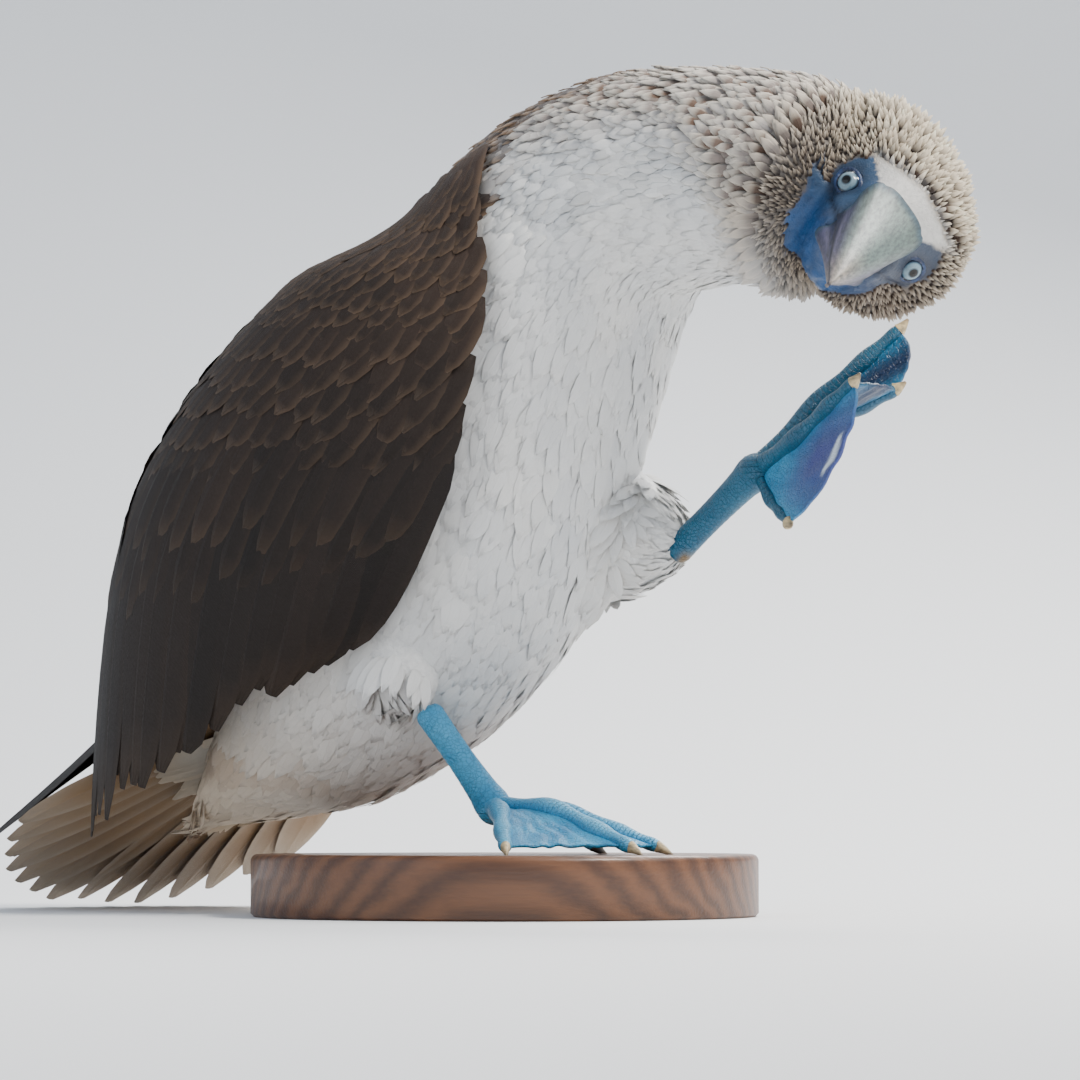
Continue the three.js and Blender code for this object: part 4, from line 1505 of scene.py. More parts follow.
class Wing:
    """A folded wing: a curved sheet over the flank with tiers of feathers and a bundle of long quills below.

    Rows are the front edge's x, y and z, the back edge's, and how far the sheet swells between them. Quill
    rows are the first quill's x, y and z at each knot, and how far these move for each step across.
    """

    rows = np.array(
        [
            [26, 48, 321, -40, 18, 291, 14],
            [44, 68, 262, -78, 20, 266, 28],
            [38, 75, 214, -140, 20, 213, 33],
            [12, 73, 165, -174, 22, 146, 34],
            [-32, 61, 112, -187, 32, 22, 27],
        ],
        float,
    )
    quill_rows = np.array(
        [
            [-62, 80, 205, -4, -4, 0],
            [-110, 66, 148, -5, -8, 0],
            [-152, 52, 96, 0, -16, 5],
            [-205, 38, 63.5, 10, -12, 6],
            [-286, 18, 24, 46, 3, 20],
        ],
        float,
    )

    def __init__(self, side: Side, start: float, set_back: float, front: float) -> None:
        """Works out the sheet on a grid.

        Args:
            side: left or right.
            start: the share of the way round from where the tips rise over the tail.
            set_back: in mm.
            front: where its feathers start round the sheet.
        """
        self.side = side
        self.set_back = set_back
        self.front = front
        self.steps = 121
        ticks = np.linspace(-WING_PAST, 1 + WING_PAST, self.steps)
        down, round_back = np.meshgrid(ticks, ticks, indexing="ij")
        row = through(self.rows, down)
        turn = np.sin(np.clip(round_back, -0.05, 1.05) * np.pi / 2)
        curl = 1 - np.cos(round_back * np.pi / 2)
        rise = WING_RISE * np.clip(down, 0, 1) ** 3 * smoothstep(round_back, start, 1)
        out = 0.75 * row[..., 6] * np.sin(np.pi * np.clip(round_back, 0, 1) ** 0.9)
        sheet = np.stack(
            [
                mix(row[..., 0], row[..., 3], turn),
                mix(row[..., 1], row[..., 4], curl) + out,
                mix(row[..., 2], row[..., 5], turn) + rise,
            ],
            -1,
        )
        edge = np.minimum(smoothstep(down, 0.02, 0.26), smoothstep(1 - round_back, 0.0, 0.3))
        tuck = ((1 - edge) * (1 - smoothstep(down, 0.5, 0.8))).ravel()
        self.sheet = TRUNK.cleared(sheet.reshape(-1, 3), mix(5.0, 2.0, tuck), tuck).reshape(sheet.shape)
        normal = unit(np.cross(np.gradient(self.sheet, axis=0), np.gradient(self.sheet, axis=1)))
        for _ in range(6):
            normal[1:-1, 1:-1] = unit(
                normal[:-2, 1:-1] + normal[2:, 1:-1] + normal[1:-1, :-2] + normal[1:-1, 2:]
                + normal[1:-1, 1:-1]
            )
        self.normal = normal

    def at(self, grid: Array, down: Array, back: Array) -> Array:
        """A grid's values between its points, by the four nearest."""
        span = 1 + 2 * WING_PAST
        i, j = [np.clip((v + WING_PAST) / span, 0, 0.99999) * (self.steps - 1) for v in (down, back)]
        i0, j0 = i.astype(int), j.astype(int)
        fi, fj = (i - i0)[..., None], (j - j0)[..., None]
        top = mix(grid[i0, j0], grid[i0, j0 + 1], fj)
        low = mix(grid[i0 + 1, j0], grid[i0 + 1, j0 + 1], fj)
        return mix(top, low, fi)

    def placed(self, points: Array) -> Array:
        """From the wing's own frame, with Y outwards, to the bird's."""
        return points * np.array([1, self.side.value, 1]) - np.array([self.set_back, 0, 0])

    def tier(self, tier: "Tier", rng: np.random.Generator) -> Vanes:
        """One tier of feathers that lie down along the sheet.

        Args:
            tier: its measures.
            rng: for the small differences.

        Returns:
            The leaves, in the wing's own frame.
        """
        rows = np.linspace(tier.first, tier.last, tier.rows)
        down, back = [], []
        for k, row in enumerate(rows):
            place = (np.arange(tier.count) + 0.5 * (k % 2)) / tier.count
            down.append(np.full(tier.count, row))
            back.append(mix(max(tier.start, self.front), tier.end, place))
        down, back = np.concatenate(down), np.concatenate(back)
        count = len(down)
        down = down + rng.normal(0, tier.jitter, count)
        back = back + rng.normal(0, tier.jitter * 0.6, count)
        share = np.linspace(0, 1, tier.rings)
        length = tier.length * rng.uniform(0.9, 1.1, count) * (1 + tier.longer * smoothstep(back, 0.3, 0.75))
        here = self.at(self.sheet, down, back)
        below = self.at(self.sheet, np.clip(down + 0.04, 0, 1), back)
        per = np.maximum(np.linalg.norm(below - here, axis=1) / 0.04, 120)
        reach = length / per
        a = down[:, None] + reach[:, None] * share
        drift = tier.slant + rng.normal(0, 0.006, count)[:, None]
        b = back[:, None] + drift * share * (1 - back[:, None] * 0.6)
        path = self.at(self.sheet, a, b)
        normal = self.at(self.normal, a, b)
        past = np.maximum(a - 1.035, 0)[..., None]
        low, high = (self.at(self.sheet, np.full_like(a, place), b) for place in (1.03, 0.98))
        fall = unit(low - high)
        path = path + fall * past * per[:, None, None]
        level = tier.level + tier.lift * share**1.3 - 1.2 * (share < 0.01)
        path = path + normal * level[None, :, None]
        shape = np.interp(share, np.linspace(0, 1, len(tier.outline)), tier.outline)
        wide = tier.width * 0.5 * shape * rng.uniform(0.92, 1.08, (count, 1))
        tilt = unit(np.gradient(path, axis=1))
        up = unit(normal + np.cross(normal, tilt) * tier.cant)
        tone = np.clip(1 - down * 1.15, 0.0, 1)[:, None]
        soft = waves(here, 45, 71)[:, None] * 0.12
        dark = mix(TONES.night * 0.7, TONES.bronze * 0.4, np.clip(tone * tier.warm + soft, 0, 1))
        light = mix(dark, TONES.tan, np.clip(tier.pale * (0.08 + 0.52 * tone), 0, 1))
        shade = 1 + 0.1 * rng.normal(0, 1, (count, 1))
        uv = on_map(np.clip(back, 0, 1), np.clip(down, 0, 1))
        return Vanes(
            path, up, wide, dark * shade, light * shade, thick=tier.thick, camber=tier.camber,
            fringe=tier.fringe, fade=(0.8, 1.0), shaft=tier.shaft, top=FINE_TOP if tier.shaft else TOP,
            uv=uv, chance=rng.random(count),
        )

    def quills(self, rng: np.random.Generator) -> Vanes:
        """The primaries, laid like a closed fan."""
        count = 15
        share = np.linspace(0, 1.8, count)
        rings = 14
        part = np.linspace(0, 1, rings)
        first, spread = self.quill_rows[:, None, :3], self.quill_rows[:, None, 3:]
        knots = first + spread * share[:, None]
        path = through(knots.reshape(len(knots), -1), part).reshape(rings, count, 3).transpose(1, 0, 2)
        up = np.broadcast_to(unit(np.array([-0.25, 0.62, 0.74])), path.shape)
        path = path + up * (share * 4.2 + 0.6)[:, None, None]
        shape = np.interp(part, np.linspace(0, 1, len(BLADE)), BLADE)
        dark = TONES.night * rng.uniform(0.85, 1.2, (count, 1))
        light = mix(dark, TONES.umber, 0.6)
        uv = on_map(0.05 * share, np.full(count, 0.99))
        return Vanes(
            path, up, 10.5 * np.tile(shape, (count, 1)), dark, light, thick=0.5, camber=0.12, fringe=0.7,
            fade=(0.85, 1.0), shaft=0.35, top=FINE_TOP, uv=uv, chance=rng.random(count),
        )

    def bed(self) -> Shell:
        """The arm and the bed of the feathers: a shell between the sheet and the flank."""
        places = np.linspace(0.004, 0.8, 50), np.linspace(self.front + 0.01, 0.99, 50)
        down, back = np.meshgrid(*places, indexing="ij")
        top = self.at(self.sheet, down, back) - self.at(self.normal, down, back) * 1.2
        _, _, gap = TRUNK.near(top.reshape(-1, 3))
        depth = np.clip(gap.reshape(down.shape) - 2.0, 0.8, 13.0)
        rim = np.minimum(np.minimum(down, 0.8 - down) * 12, np.minimum(back - self.front, 1 - back) * 9)
        depth = depth * np.clip(rim, 0.12, 1)
        low = top - self.at(self.normal, down, back) * depth[..., None]
        rings = np.concatenate([top, low[:, ::-1]], axis=1)
        shell = ring_shell(rings)
        colour = mix(TONES.night, TONES.umber, 0.4)
        count = len(shell.points)
        shell.values = {"paint": np.tile([*colour, 1.0], (count, 1)), "vane": np.zeros((count, 3))}
        shell.uv = np.full((count, 2), 0.003)
        return shell


@dataclass(frozen=True)
class Tier:
    """A tier of wing feathers.

    Attributes:
        first: where its first row is rooted down the sheet.
        last: where its last row is rooted.
        rows: of feathers.
        count: in each row.
        length: in mm.
        width: in mm.
        outline: half widths from root to tip.
        rings: points along each feather.
        level: how far over the sheet, in mm.
        lift: how much further at the tips.
        slant: how far the tips move back along the sheet.
        warm: how brown against black.
        pale: how light the fringes are.
        fringe: how far they run up the edges.
        start: the first feather's place round the sheet.
        end: the last one's.
        jitter: of the roots.
        cant: how far each feather tips over its neighbour.
        thick: in mm.
        camber: how much the edges drop.
        shaft: how far the shaft stands out, in mm.
        longer: how much longer they are towards the back.
    """

    first: float
    last: float
    rows: int
    count: int
    length: float
    width: float
    outline: tuple = LEAF
    rings: int = 6
    level: float = 0.4
    lift: float = 2.2
    slant: float = 0.03
    warm: float = 0.9
    pale: float = 0.5
    fringe: float = 0.8
    start: float = 0.0
    end: float = 1.0
    jitter: float = 0.008
    cant: float = 0.1
    thick: float = 0.4
    camber: float = 0.22
    shaft: float = 0.0
    longer: float = 0.0


TIERS = (
    Tier(-0.02, 0.3, 11, 26, 22, 13),
    Tier(0.3, 0.52, 5, 22, 32, 16, level=0.5, pale=0.4),
    Tier(0.54, 0.62, 2, 20, 52, 18, BLADE, 10, lift=2.6, warm=0.75, pale=0.3, shaft=0.3, jitter=0.004),
    Tier(
        0.6, 0.6, 1, 28, 95, 24, BLADE, 12, level=0.0, slant=0.0, warm=0.6, pale=0.2, fringe=0.5,
        jitter=0.003, cant=0.14, shaft=0.35, end=0.97, longer=0.15,
    ),
)


def wing_shell(wing: Wing, seed: int) -> Shell:
    """The bed, the tiers and the quills of one wing."""
    rng = np.random.default_rng(seed)
    shells = [wing.bed(), *(wing.tier(tier, rng).shell() for tier in TIERS), wing.quills(rng).shell()]
    whole = shells[0].joined(shells[1:])
    whole.points = wing.placed(whole.points)
    if wing.side is Side.RIGHT:
        whole.faces = whole.faces[:, ::-1]
    return whole


class Tail:
    """A fan of long feathers, with coverts over and under its roots."""

    hub = np.array([-38.0, 0.0, 117.0])
    slope = np.radians(24.8)
    roll = np.radians(10.0)
    near, far = np.radians(-15.0), np.radians(30.0)
    length, outer, root = 264.0, 210.0, 70.0

    def __init__(self) -> None:
        """Works out the fan's directions."""
        self.along = np.array([-np.cos(self.slope), 0, -np.sin(self.slope)])
        self.across = np.array([0, np.cos(self.roll), -np.sin(self.roll)])
        self.up = unit(np.cross(self.across, self.along))

    def fan(
        self, share: Array, start: Array, end: Array, half: float, outline: tuple, rings: int, level: Array
    ) -> tuple[Array, Array, Array]:
        """Feathers whose lines meet at the hub.

        Args:
            share: -1 to 1, one per feather.
            start: distances of the roots from the hub.
            end: distances of the tips.
            half: half width.
            outline: half widths from root to tip.
            rings: points along each.
            level: heights over the fan, feathers by rings.

        Returns:
            Paths, up directions and half widths.
        """
        angle = mix(self.near, self.far, (share + 1) / 2)
        along = self.along * np.cos(angle)[:, None] + self.across * np.sin(angle)[:, None]
        part = np.linspace(0, 1, rings)
        reach = mix(start[:, None], end[:, None], part)
        droop = 1.2 - 1.5 * part**2 * np.abs(share[:, None])
        path = self.hub + along[:, None] * reach[..., None] + self.up * (level + droop)[..., None]
        shape = np.interp(part, np.linspace(0, 1, len(outline)), outline)
        side = unit(np.cross(self.up, along))
        up = unit(self.up + side * (0.1 * np.where(share < 0, -1, 1))[:, None])
        return path, np.broadcast_to(up[:, None], path.shape), half * np.tile(shape, (len(share), 1))

    def shell(self) -> Shell:
        """The tail feathers with their coverts."""
        rng = np.random.default_rng(77)
        count = 14
        rings = 18
        share = np.linspace(-1, 1, count)
        end = mix(self.length, self.outer, share**2) * rng.uniform(0.985, 1.01, count)
        level = np.tile(((np.abs(share) - 0.5) * -3.0)[:, None], (1, rings))
        blade = (0.35, 0.75, 0.95, 1.0, 1.0, 1.0, 1.0, 1.0, 1.0, 0.98, 0.93, 0.8, 0.6, 0.2)
        path, up, half = self.fan(share, np.full(count, self.root), end, 12.0, blade, rings, level)
        brown = pigment(136, 104, 66)
        dark = brown * rng.uniform(0.85, 1.15, (count, 1))
        light = mix(dark, TONES.cream, 0.28)
        uv = on_map((share + 1) / 2, np.full(count, 0.5))
        vanes = Vanes(
            path, up, half, dark, light, thick=0.6, camber=0.1, fringe=0.6, fade=(0.7, 1.0), shaft=0.55,
            top=FINE_TOP, uv=uv, chance=rng.random(count),
        )
        shells = [vanes.shell()]
        for under, tones in ((1, (TONES.cream, TONES.cream)), (-1, (TONES.tan, TONES.cream))):
            shells.append(self.coverts(under, tones, rng))
        return shells[0].joined(shells[1:])

    def coverts(self, under: int, tones: tuple[Array, Array], rng: np.random.Generator) -> Shell:
        """Shorter feathers over or under the roots.

        Args:
            under: 1 below the fan, -1 above it.
            tones: colours of roots and tips.
            rng: for the small differences.

        Returns:
            One shell.
        """
        rows = 5 if under > 0 else 3
        count = 15
        share = np.tile(np.linspace(-0.92, 0.92, count), rows) + rng.normal(0, 0.03, rows * count)
        row = np.repeat(np.arange(rows), count)
        start = 62.0 + 9.0 * row + rng.normal(0, 3, len(row))
        end = start + mix(62, 42, np.abs(share)) * rng.uniform(0.85, 1.15, len(row))
        part = np.linspace(0, 1, 8)
        base = (10.0 - 1.6 * row)[:, None] * (1 - part) ** 1.2 + 2.6
        level = -under * base - (np.abs(share) - 0.5)[:, None] * 3.0
        path, up, half = self.fan(share, start, end, 8.5, LEAF, 8, level)
        up = up * -under
        shade = rng.uniform(0.82, 1.1, (len(row), 1))
        root = tones[0] * shade * 0.85
        tip = tones[1] * pigment(246, 232, 214) * shade
        uv = on_map((np.clip(share, -1, 1) + 1) / 2, 0.2 + 0.03 * row)
        vanes = Vanes(
            path, up, half, root, tip, thick=0.4, camber=0.25, fringe=0.3, fade=(0.4, 1.0), uv=uv,
            chance=rng.random(len(row)),
        )
        return vanes.shell()


TAIL = Tail()


# Bill and eyes


@dataclass(frozen=True)
class Bill:
    """Both halves of the bill, as rings along the head's X.

    Attributes:
        length: from the root.
        half: half width at the root.
        rise: height over the mouth line at the root.
        chin: depth under it.
        mouth: height of the mouth line.
        sag: how far the mouth line drops to the tip.
    """

    length: float = 106.0
    half: float = 18.0
    rise: float = 22.5
    chin: float = 15.5
    mouth: float = -9.5
    sag: float = 4.2

    def mouth_line(self, along: Array) -> Array:
        """The mouth line's height at shares of the length."""
        return self.mouth - self.sag * along**2

    def shell(self, upper: bool) -> Shell:
        """One half.

        The half width falls as (1 - u)^0.82, and the height as (1 - u)^0.75 above and (1 - u)^0.9 below. The
        upper half has a ridge between two grooves along its top, and both have a lip along the mouth.

        Args:
            upper: which half.

        Returns:
            The half, painted, with painted shade on its lower sides and along the mouth.
        """
        u = 1 - (1 - np.linspace(0, 1, 90)) ** 1.25
        reach = self.length * (1.0 if upper else 0.965)
        along = u * reach / self.length
        half = np.maximum(0.7, self.half * (1 - u) ** 0.82 * (1.0 if upper else 0.9))
        hook = 1.6 * np.maximum(0, (along - 0.97) / 0.03) if upper else 0 * u
        edge = self.mouth_line(along) + (-hook if upper else -0.55)
        if upper:
            tall = self.rise * (1 - u) ** 0.75 + 1.4 + hook
        else:
            tall = -(self.chin * 0.78 * (1 - u) ** 0.9 + 1.0)
        turn = np.linspace(0, np.pi, 49)
        cos, sin = np.cos(turn), np.clip(np.sin(turn), 0, 1)
        square = mix(0.52, 0.9, u)[:, None]
        lip = 1 - 0.05 * np.exp(-(((sin - 0.12) / 0.1) ** 2))
        flare = mix(1.0, mix(0.8, 1.06, sin), np.clip(1.2 - 1.6 * u, 0, 1)[:, None])
        wide = half[:, None] * np.sign(cos) * np.abs(cos) ** square * lip * flare
        lift = sin**square
        if upper:
            ridge = 0.05 * np.exp(-((cos / 0.22) ** 2)) - 0.05 * np.exp(-(((np.abs(cos) - 0.42) / 0.09) ** 2))
            lift = lift + 0.6 * ridge * np.clip((1 - u) * 1.6, 0, 1)[:, None]
        high = edge[:, None] + tall[:, None] * lift
        x = BILL_ROOT - 2.0 + u * (reach + 2.0)
        inner = np.linspace(-0.94, 0.94, 15)
        floor = np.broadcast_to(edge[:, None], (len(u), len(inner)))
        y = np.concatenate([wide, np.abs(wide[:, :1]) * inner], axis=1)
        z = np.concatenate([high, floor], axis=1)
        rings = np.stack([np.broadcast_to(x[:, None], y.shape), y, z], -1)
        shell = ring_shell(from_head(rings))
        head = to_head(shell.points)
        part = np.clip((head[:, 0] - BILL_ROOT) / self.length, 0, 1)[:, None]
        above = head[:, 2] - self.mouth_line(part[:, 0])
        over = np.clip(above / (self.rise * (1 - part[:, 0]) ** 0.75 + 1), -1, 1)
        green, grey = pigment(98, 114, 108), pigment(84, 82, 106)
        tip, root = pigment(156, 142, 130), pigment(60, 84, 96)
        # Painted shade: green on top, turning violet-grey lower down the sides and on the lower half.
        colour = mix(grey, green, smoothstep(over, 0.25, 0.8)[:, None])
        colour = mix(root, colour, smoothstep(part[:, 0], 0.0, 0.1)[:, None])
        colour = mix(colour, tip, smoothstep(part[:, 0], 0.62, 0.97)[:, None] * 0.8)
        cloud = np.clip(0.5 + 0.5 * waves(head * np.array([0.35, 1, 1]), 9, 61), 0, 1)[:, None]
        colour = colour * (0.82 + 0.24 * cloud)
        # Painted shade: points within 0.7 mm of the mouth line, the lips and the flat undersides, are painted
        # dark.
        dark = (np.abs(above) < 0.7)[:, None] * (np.abs(head[:, 1:2]) < half.max())
        colour = mix(colour, pigment(44, 42, 54), dark * 0.9)
        grain = head * np.array([0.05, 1.6, 1.6]) * MM
        shell.values = {"paint": paint_of(colour), "grain": grain}
        return shell


def eye_shell(side: float) -> Shell:
    """An eyeball painted in rings round the way it looks.

    Args:
        side: the sign of the head's Y.

    Returns:
        The ball: dark pupil, pale iris with a grey rim, dark white.
    """
    gaze = unit(np.array([0.82, side * 0.56, 0.09]))
    other = unit(np.cross(gaze, np.array([0, 0, 1.0])))
    frame = np.stack([gaze, other, np.cross(gaze, other)], 1)
    centre = np.array([EYE_AHEAD, side * EYE_SIDE, 0.0])
    ball_shell = ball(centre, np.full(3, EYE_RADIUS), frame, 96)
    out = ball_shell.points - centre
    open_angle = np.degrees(np.arccos(np.clip(out @ gaze / EYE_RADIUS, -1, 1)))
    bulge = 0.5 * (1 - smoothstep(open_angle, 20, 42))
    ball_shell.points = centre + out * (1 + bulge / EYE_RADIUS)[:, None]
    stops = np.array([0, 14.5, 16.0, 19, 33, 37, 40, 180.0])
    tones = [
        srgb(2, 3, 5), srgb(2, 3, 5), srgb(60, 76, 86), srgb(126, 150, 162),
        srgb(118, 144, 158), srgb(60, 84, 102), srgb(20, 30, 46), srgb(16, 24, 38),
    ]
    colour = np.stack([np.interp(open_angle, stops, [t[k] for t in tones]) for k in range(3)], -1)
    ball_shell.points = from_head(ball_shell.points)
    ball_shell.values = {"paint": paint_of(colour)}
    return ball_shell


def lid_shell(side: float) -> Shell:
    """The ring of bare skin round an eye: a torus that rests on the ball."""
    gaze = unit(np.array([0.74, side * 0.66, 0.07]))
    other = unit(np.cross(gaze, np.array([0, 0, 1.0])))
    third = np.cross(gaze, other)
    turn = np.linspace(0, 2 * np.pi, 72, endpoint=False)[:, None, None]
    small = np.linspace(0, 2 * np.pi, 16, endpoint=False)[None, :, None]
    radius = 5.75 + 0.25 * np.cos(2 * turn) + 1.25 * np.cos(small)
    centre = np.array([EYE_AHEAD, side * EYE_SIDE, 0.0]) + gaze * 3.6
    rim = 1 + 0.1 * np.sin(turn * 17)
    back = -0.9 * np.cos(turn) ** 2
    ring = np.cos(turn) * other * 1.12 + np.sin(turn) * third * 0.86
    points = centre + radius * ring + gaze * (back + 1.1 * np.sin(small) * rim)
    index = np.arange(72 * 16).reshape(72, 16)
    ahead, turned = np.roll(index, -1, 0), np.roll(index, -1, 1)
    faces = np.stack([index, ahead, np.roll(ahead, -1, 1), turned], -1).reshape(-1, 4)
    shell = Shell(from_head(points.reshape(-1, 3)), faces)
    if volume_of(shell) < 0:
        shell.faces = faces[:, ::-1]
    shade = np.clip(0.5 + 0.5 * waves(points.reshape(-1, 3), 5, 81), 0, 1)[:, None]
    shell.values = {"paint": paint_of(mix(pigment(38, 66, 108), pigment(20, 34, 62), shade))}
    return shell


# Legs


@dataclass(frozen=True)
class Toe:
    """A toe.

    Attributes:
        tip: its end.
        knuckle: how far its middle arches.
        root: radius at the foot.
    """

    tip: tuple[float, float, float]
    knuckle: float
    root: float = 4.6


@dataclass(frozen=True)
class Leg:
    """A leg below the thigh: shank, toes from outer to hind, and webs between them.

    Attributes:
        name: left or right.
        ankle: the top of the shank.
        hub: where the toes meet.
        toes: outer, middle, inner and hind.
        notches: how far each web's edge is cut in.
        curl: how far the claws bend, in mm.
        violet: how much the webs turn to violet.
        hind_claw: the hind claw's colour.
        claw: the claws' length, in mm.
        skin: a tone laid over the blue: painted light, paler on the standing leg, and painted shade, dark
            teal, on the raised one.
        deep: how strongly.
    """

    name: str
    ankle: tuple[float, float, float]
    hub: tuple[float, float, float]
    toes: tuple[Toe, ...]
    notches: tuple[float, float, float]
    curl: float
    violet: float
    hind_claw: Colour
    claw: float
    skin: Colour
    deep: float

    @property
    def raised(self) -> bool:
        """Whether this is the leg with the violet webs, which scratches."""
        return self.violet > 0.5

    def line(self, toe: Toe, share: Array) -> Array:
        """A toe's middle line."""
        a, b = np.array(self.hub), np.array(toe.tip)
        rise = np.array([0, 0, float(toe.knuckle)])
        path = through([a, mix(a, b, 0.42) + rise, mix(a, b, 0.75) + rise * 0.45, b], np.minimum(share, 1))
        return path + (b - a) * np.maximum(share - 1, 0)[..., None]

    def toe_shell(self, toe: Toe) -> Shell:
        """A toe with swollen joints and pads below them."""
        share = np.linspace(0, 1, 56)
        path = self.line(toe, share)
        joints = 1 + 0.14 * np.cos(share * np.pi * 6)
        radius = mix(toe.root, toe.root * 0.63, share) * joints * np.sqrt(np.clip(1.05 - share**24, 0.05, 1))
        shell = sweep(path, radius, np.cross(path[-1] - path[0], [0, 0, 1.0]), 1.0, 24)
        length = np.linalg.norm(path[-1] - path[0])
        along = np.append(np.repeat(share, 24), [0, 1]) * length
        ahead = unit(path[-1] - path[0])
        ring = np.append(np.repeat(np.arange(56), 24), [0, 55])
        out = shell.points - path[ring]
        top = unit(np.array([0, 0, 1.0]) - ahead * ahead[2])
        # ridge is 0 under the toe and 1 on top; the leg finish paints a highlight by it.
        ridge = np.clip(0.5 + (out @ top) / (2 * radius[ring]), 0, 1)
        count = len(shell.points)
        shell.values = {
            "limb": np.stack([along, ridge, np.zeros(count)], -1),
            "paint": np.tile([*self.skin, self.deep], (count, 1)),
        }
        return shell

    def web_shell(self, first: Toe, second: Toe, notch: float, seed: int) -> Shell:
        """The web between two toes: a thin sheet that sags, with creases that fan out from the foot."""
        s, t = np.meshgrid(np.linspace(0.05, 1, 44), np.linspace(0, 1, 40), indexing="ij")
        reach = (0.97 - notch * 4 * t * (1 - t)) * s
        a, b = self.line(first, reach), self.line(second, reach)
        hub = np.array(self.hub)
        face = unit(np.cross(self.line(second, np.array(0.8)) - hub, self.line(first, np.array(0.8)) - hub))
        middle = mix(a, b, t[..., None])
        middle[..., 2] -= 2.2 * np.sin(np.pi * t) * s
        crease = np.sin(t * 34 + 1.4 * waves(middle, 16, seed)) * s * np.sin(np.pi * t) * 0.34
        crease = crease + 0.25 * waves(middle, 6, seed + 1) * np.sin(np.pi * t)
        thick = 0.45 + 0.25 * (s > 0.98)
        normal = unit(np.cross(np.gradient(middle, axis=1), np.gradient(middle, axis=0)))
        normal = normal * np.sign((normal * face).sum(-1, keepdims=True))
        top = middle + normal * (crease + thick)[..., None]
        low = middle + normal * (crease - thick)[..., None]
        shell = ring_shell(np.concatenate([top, low[::-1]], axis=0).transpose(1, 0, 2))
        share = np.concatenate([t, t[::-1]], 0).T.reshape(-1)
        along = np.concatenate([s, s[::-1]], 0).T.reshape(-1)
        middle_web = np.append(np.sin(np.pi * share) * smoothstep(along, 0.15, 0.7), [0, 0])
        count = len(shell.points)
        inner = seed == INNER_WEB_SEED
        violet = pigment(58, 62, 128) if inner else pigment(16, 30, 66)
        # Painted highlight: a pale sky-coloured oval on the inner web of the raised foot.
        oval = np.hypot((along - 0.925) / 0.036, (share - 0.5) / 0.13)
        oval = np.append(1 - smoothstep(oval, 0.75, 1.15), [0, 0]) * inner * self.raised
        tone = mix(violet, pigment(214, 226, 236), oval[:, None])
        shell.values = {
            "limb": np.stack([np.append(along, [0, 1]) * 40, np.full(count, 0.35), np.ones(count)], -1),
            "paint": np.concatenate([tone, np.maximum(middle_web * self.violet, oval)[:, None]], 1),
        }
        return shell

    def foot_shell(self) -> Shell:
        """Toes, webs and the ball of the foot."""
        hub = ball(self.hub, (8.0, 7.6, 7.2))
        count = len(hub.points)
        hub.values = {
            "limb": np.stack([hub.points[:, 2], np.full(count, 0.6), np.zeros(count)], -1),
            "paint": np.tile([*self.skin, self.deep], (count, 1)),
        }
        toes = [self.toe_shell(toe) for toe in self.toes]
        pairs = zip(self.toes[:-1], self.toes[1:], self.notches)
        webs = [self.web_shell(a, b, notch, FIRST_WEB_SEED + k) for k, (a, b, notch) in enumerate(pairs)]
        return hub.joined([*toes, *webs])

    def shank_shell(self) -> Shell:
        """The shank: a flattened tube with plates down its front."""
        share = np.linspace(0, 1, 60)
        path = mix(np.array(self.ankle), np.array(self.hub), share[:, None])
        radius = mix(6.6, 5.8, np.sin(np.pi * share)) + 1.2 * share**2
        radius = radius + 0.5 * np.exp(-(((share - 0.93) / 0.06) ** 2)) + 0.04 * np.sin(share * 95)
        radius = radius * np.sqrt(np.clip(1.06 - (1 - share) ** 30, 0.06, 1))
        shell = sweep(path, radius, np.array([0, 1.0, 0]), 0.82, 32)
        count = len(shell.points)
        place = np.append(np.repeat(share, 32), [0, 1])
        ahead = unit(path[-1] - path[0])
        below = unit(ahead * ahead[2] - np.array([0, 0, 1.0]))
        under = (shell.points - mix(path[0], path[-1], place[:, None])) @ below
        heel = ((1 - smoothstep(place, 0.1, 0.2)) * smoothstep(under, 2.5, 5.5))[:, None] * self.raised
        tone = mix(np.array(self.skin), pigment(112, 92, 64), heel)
        shell.values = {
            "limb": np.stack([place * 50, np.full(count, 0.5), np.full(count, 0.75)], -1),
            "paint": np.concatenate([tone, np.maximum(self.deep, heel)], 1),
        }
        return shell

    def claw_shell(self) -> Shell:
        """The claws, each carrying on from a toe's end and bending down."""
        shells = []
        for k, toe in enumerate(self.toes):
            ends = self.line(toe, np.array([0.96, 1.0]))
            ahead = unit(ends[1] - ends[0])
            share = np.linspace(0, 1, 22)
            path = ends[1] + ahead * (share[:, None] * self.claw - 1.5)
            path[:, 2] += self.curl * share**1.7
            radius = (3.75 - self.claw / 6) * (1 - 0.9 * share) ** 0.85 + 0.1
            shell = sweep(path, radius, np.cross(ahead, [0, 0, 1.0]), 0.8, 20)
            tan, dark = pigment(206, 184, 140), pigment(120, 98, 74)
            if k == 3:
                tan = np.array(self.hind_claw)
            place = np.append(np.repeat(share, 20), [0, 1])[:, None]
            shell.values = {
                "paint": paint_of(mix(tan, dark, smoothstep(place, 0.45, 1.0) * 0.7)),
                "grain": shell.points * MM * np.array([0.4, 1, 1]),
            }
            shells.append(shell)
        return shells[0].joined(shells[1:])

    def nodes(self, kind: str) -> list[str]:
        """The CAD nodes of a kind on this leg."""
        if kind == "claw":
            return [f"claw_{self.name}_{toe}" for toe in ("outer", "middle", "inner", "hind")]
        return [f"{kind}_{self.name}"]


TOE_HEIGHT = 28.8


def standing_tip(x: float, y: float) -> tuple[float, float, float]:
    """A toe tip on the base, from the part's frame to the bird's."""
    return tuple(from_part(np.array([x, y, TOE_HEIGHT])))


